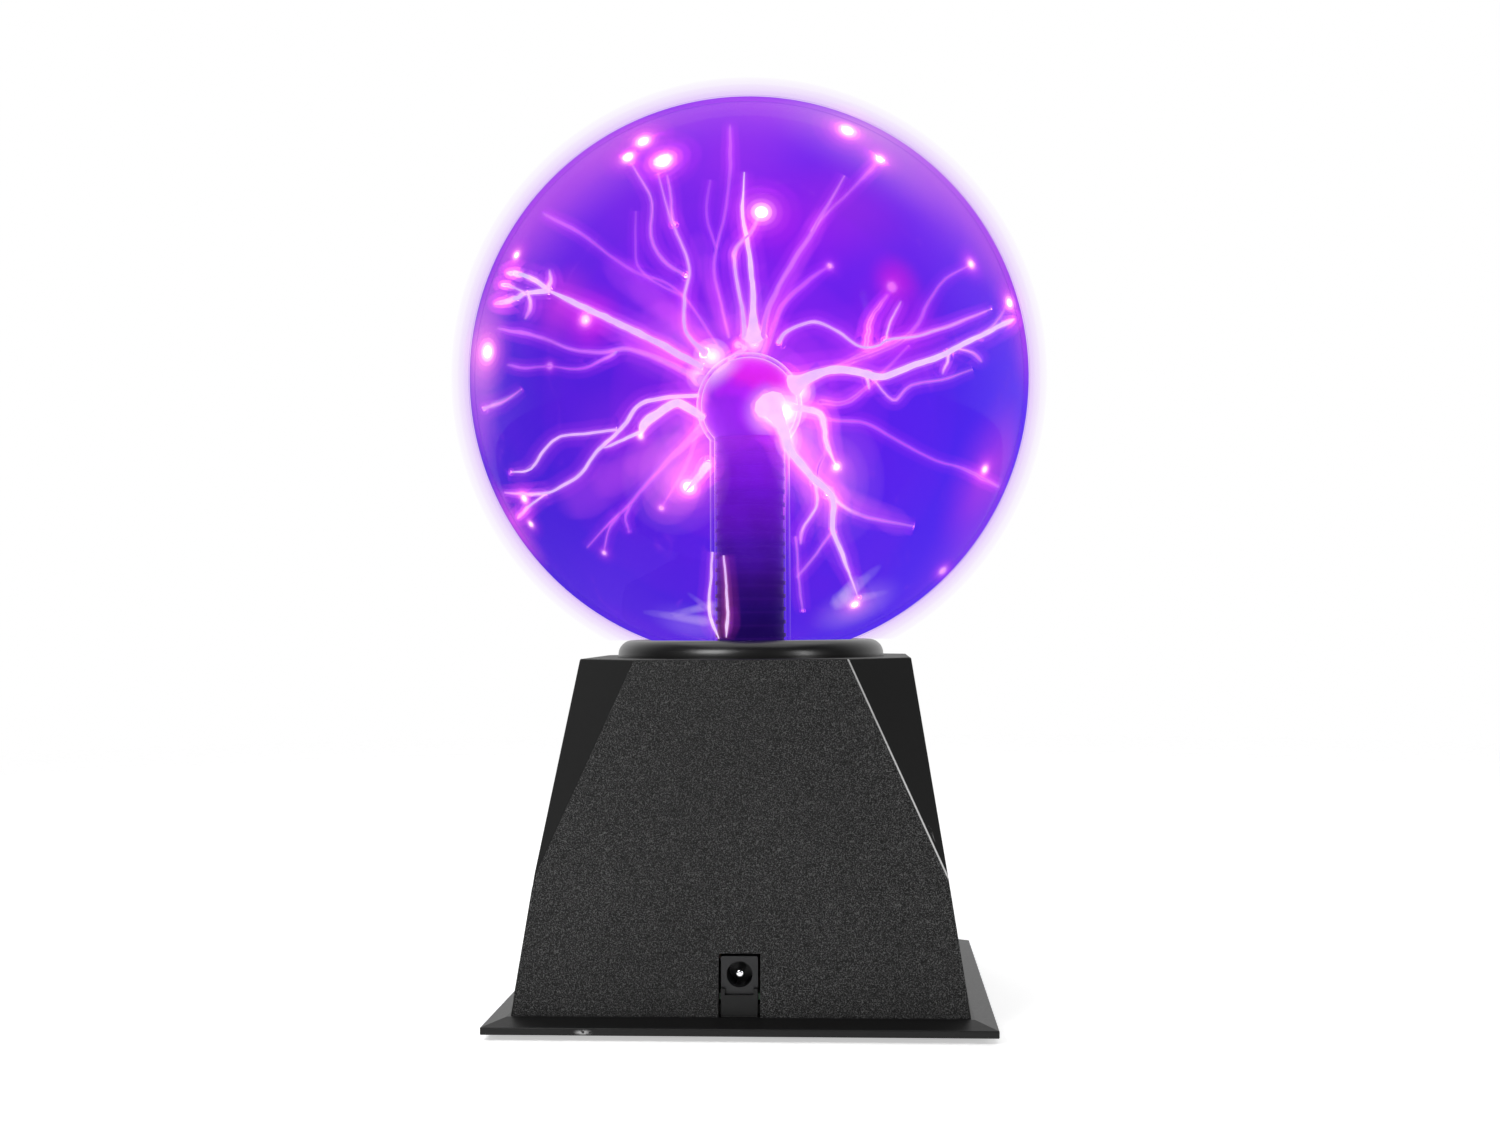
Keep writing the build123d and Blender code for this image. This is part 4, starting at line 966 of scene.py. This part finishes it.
def make_globe():
    """Smooth glass envelope with its neck, standing for the CAD envelope."""
    inner_radius, inner_neck = GLOBE_RADIUS - GLASS_WALL, NECK_RADIUS - GLASS_WALL
    foot = globe_low[2] - GLOBE_CENTER.z
    profile = [(NECK_RADIUS, foot)]
    profile += ball_profile(GLOBE_RADIUS, 96, -math.acos(NECK_RADIUS / GLOBE_RADIUS))
    profile += reversed(ball_profile(inner_radius, 96, -math.acos(inner_neck / inner_radius)))
    profile += [(inner_neck, foot), profile[0]]
    points, faces = lathe(profile, 192)
    globe = add_mesh("globe_glass", points, faces, globe_glass())
    globe.location = GLOBE_CENTER
    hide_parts("globe")
    ride_glass(globe)


def make_gas():
    """The ball that carries the wall's glow, with its faces turned inwards."""
    points, faces = lathe(ball_profile(GAS_RADIUS, 96), 192)
    inward = [list(reversed(face)) for face in faces]
    gas = add_mesh("gas_glow", points, inward, gas_glow())
    gas.location = GLOBE_CENTER
    ride_glass(gas)


def ride_glass(piece):
    """A piece of the lit globe. It throws no light on the base and doesn't show in the base's gloss."""
    piece.visible_diffuse = False
    piece.visible_glossy = False
    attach(piece, "base")


def make_painted_halo():
    """Painted halo: nested shells round the globe, from the collar up, that fade outwards."""
    for number, reach in enumerate(HALO_REACH):
        outer, inner = GLOBE_RADIUS + reach, GLOBE_RADIUS + HALO_GAP
        level = collar_top - GLOBE_CENTER.z
        profile = ball_profile(outer, 64, math.asin(level / outer))
        profile += reversed(ball_profile(inner, 64, math.asin(level / inner)))
        profile.append(profile[0])
        points, faces = lathe(profile, 128)
        shell = add_mesh(f"painted_halo_{number}", points, faces, painted_halo(f"painted_halo_{number}"))
        shell.location = GLOBE_CENTER
        ride_glass(shell)


# Glow that each layer adds, from the inside out: colour, strength per metre of depth, and a veil's share.
STREAMER_GAS = [((1.0, 0.52, 0.8), 90, 0.05), ((1.0, 0.22, 0.6), 30, 0.0), ((1.0, 0.09, 0.5), 11, 0.0)]
SPOT_GAS = [
    ((1.0, 1.0, 0.6), 600), ((1.0, 0.75, 0.40), 170), ((1.0, 0.40, 0.30), 60), ((1.0, 0.2, 0.30), 24),
    ((1.0, 0.12, 0.30), 11), ((1.0, 0.06, 0.30), 5),
]
SPOT_STEPS = (0.5, 0.8, 1.15, 1.6, 2.2, 3.0)
FAN_GAS = ((1.0, 0.20, 0.28), 11)
WISP_GAS = ((1.0, 0.9, 0.3), 26)
# Clouds of lit gas at the streamers' feet: (x, z, depth, width, height, colour, strength).
CLOUDS = [
    (-20, -25, -0.25, 10, 11, (1.0, 0.42, 0.25), 15),
    (23, -27, -0.25, 9, 12, (1.0, 0.42, 0.25), 13),
    (-15, -13, -0.1, 9, 10, (1.0, 0.40, 0.25), 9),
    (-18, 11, 0.2, 13, 8, (1.0, 0.40, 0.25), 11),
    (0, 17, 0.1, 6, 8, (1.0, 0.50, 0.25), 13),
    (15, -16, -0.1, 7, 12, (1.0, 0.60, 0.25), 15),
    (-22, 18, 0.2, 12, 14, (1.0, 0.10, 0.30), 4),
    (30, 8, 0.3, 18, 9, (1.0, 0.12, 0.30), 5),
    (-10.0, 7.0, -0.08, 3.6, 3.4, (1.0, 1.0, 0.6), 190),
    (-14.0, 2.0, 0.0, 2.2, 3.2, (1.0, 0.9, 0.6), 120),
    (1.4, 11.0, 0.0, 2.6, 3.4, (1.0, 1.0, 0.6), 170),
    (14.0, -3.0, -0.05, 2.8, 3.2, (1.0, 1.0, 0.6), 150),
    (9.5, -8.5, -0.2, 4.2, 3.2, (1.0, 1.0, 0.6), 170),
    (10.5, -15.5, -0.2, 2.6, 4.0, (1.0, 0.95, 0.6), 110),
]
# Nested steps of a cloud: share of its size, and share of its strength.
CLOUD_STEPS = ((0.35, 0.70), (0.65, 0.55), (1.0, 0.38), (1.45, 0.22))
# Gas about the electrode: radius in millimetres, colour and strength.
ELECTRODE_GAS = [
    (19, (1.0, 0.25, 0.3), 5), (25, (1.0, 0.12, 0.3), 4), (38, (1.0, 0.06, 0.4), 1.5),
    (56, (1.0, 0.03, 0.6), 0.5),
]


def make_layers(name, layers, finishes):
    """One piece for each layer, with its own finish."""
    for number, (layer, finish) in enumerate(zip(layers, finishes)):
        ride_glass(layer.build(f"{name}_{number}", lit_gas(f"{name}_{number}", *finish)))


def make_clouds():
    """Soft ellipsoids, each in nested steps that grow fainter outwards."""
    for number, (x, z, depth, width, height, colour, strength) in enumerate(CLOUDS):
        for step, (times, share) in enumerate(CLOUD_STEPS):
            points, faces = lathe(ball_profile(1.0, 20), 28)
            size = [v * times * MM for v in (width, (width + height) / 2, height)]
            shape = [[v * reach for v, reach in zip(point, size)] for point in points]
            name = f"cloud_{number}_{step}"
            cloud = add_mesh(name, shape, faces, lit_gas(name, colour, strength * share))
            cloud.location = placed(x, z, depth)
            ride_glass(cloud)


def make_glow():
    """All that glows inside the globe."""
    cores, *sleeves = make_streamers()
    ride_glass(cores.build("streamer_cores", streamer_core()))
    make_layers("streamer_gas", sleeves, STREAMER_GAS)
    make_layers("wall_spot_gas", make_spots(), SPOT_GAS)
    make_layers("fan_gas", make_bands(FANS), [FAN_GAS] * 3)
    make_layers("wisp_gas", make_bands(WISPS), [WISP_GAS] * 3)
    make_clouds()
    for number, (radius, *finish) in enumerate(ELECTRODE_GAS):
        points, faces = lathe(ball_profile(radius * MM, 32), 48)
        name = f"electrode_gas_{number}"
        glow = add_mesh(name, points, faces, lit_gas(name, *finish))
        glow.location = BULB_CENTER
        ride_glass(glow)


# ---------------------------------------------------------------- stage


def make_world():
    """White behind the object and for the camera, dimmer in front, so that black plastic stays black."""
    s = Shader("studio", world=True)
    behind = s.parts(s.add("TexCoord").outputs["Generated"])["Y"]
    fade = s.add("MapRange", Value=behind, From_Min=0.0, From_Max=0.7, To_Min=0.09, To_Max=1.0).outputs[0]
    shown = s.add("Background", Color=grey(1.0)).outputs[0]
    fill = s.add("Background", Color=grey(1.0), Strength=fade).outputs[0]
    seen = s.add("LightPath").outputs["Is Camera Ray"]
    bpy.context.scene.world = s.finish(s.blend(seen, fill, shown))


def make_floor():
    """Pale floor that fades out far from the object."""
    s = Shader("pale_floor")
    place = s.place()
    tone = s.ramp(s.noise(place, 3, 3), (0.3, 0.88), (0.7, 0.90))
    floor_shader = s.add(
        "BsdfPrincipled", Base_Color=tone, Roughness=0.8, Specular_IOR_Level=0.0,
        Emission_Color=(1, 1, 1, 1), Emission_Strength=0.5,
    )
    far = s.math("MULTIPLY_ADD", s.vector("LENGTH", place), 1.25, -0.4, clamp=True)
    finish = s.finish(s.blend(far, floor_shader.outputs[0], s.clear()))
    half = 1.6
    corners = [(-half, -half, 0), (half, -half, 0), (half, half, 0), (-half, half, 0)]
    add_mesh("floor", corners, [[0, 1, 2, 3]], finish, smooth=False)


def add_light(name, spot, target, width, height, power):
    """A soft rectangular lamp that the camera doesn't see."""
    data = bpy.data.lights.new(name, "AREA")
    data.shape = "RECTANGLE"
    data.size = width
    data.size_y = height
    data.energy = power
    light = bpy.data.objects.new(name, data)
    light.location = spot
    light.rotation_euler = (Vector(target) - Vector(spot)).to_track_quat("-Z", "Y").to_euler()
    light.visible_camera = False
    bpy.context.scene.collection.objects.link(light)


def make_stage():
    make_world()
    make_floor()
    add_light("overhead", (0.0, 0.15, 1.3), (0, 0, 0.1), 1.2, 1.2, 7)
    add_light("front_left", (-0.18, -0.30, 0.27), (-0.02, 0, 0.06), 0.16, 0.16, 0.9)
    add_light("strip_right", (0.85, -0.72, 0.42), (0, 0, 0.07), 0.06, 0.5, 3.0)


make_camera()
dress_cad_nodes()
make_globe()
make_gas()
make_glow()
make_painted_halo()
make_stage()
bpy.context.scene.view_settings.view_transform = "Standard"
bpy.context.scene.cycles.transparent_max_bounces = 96
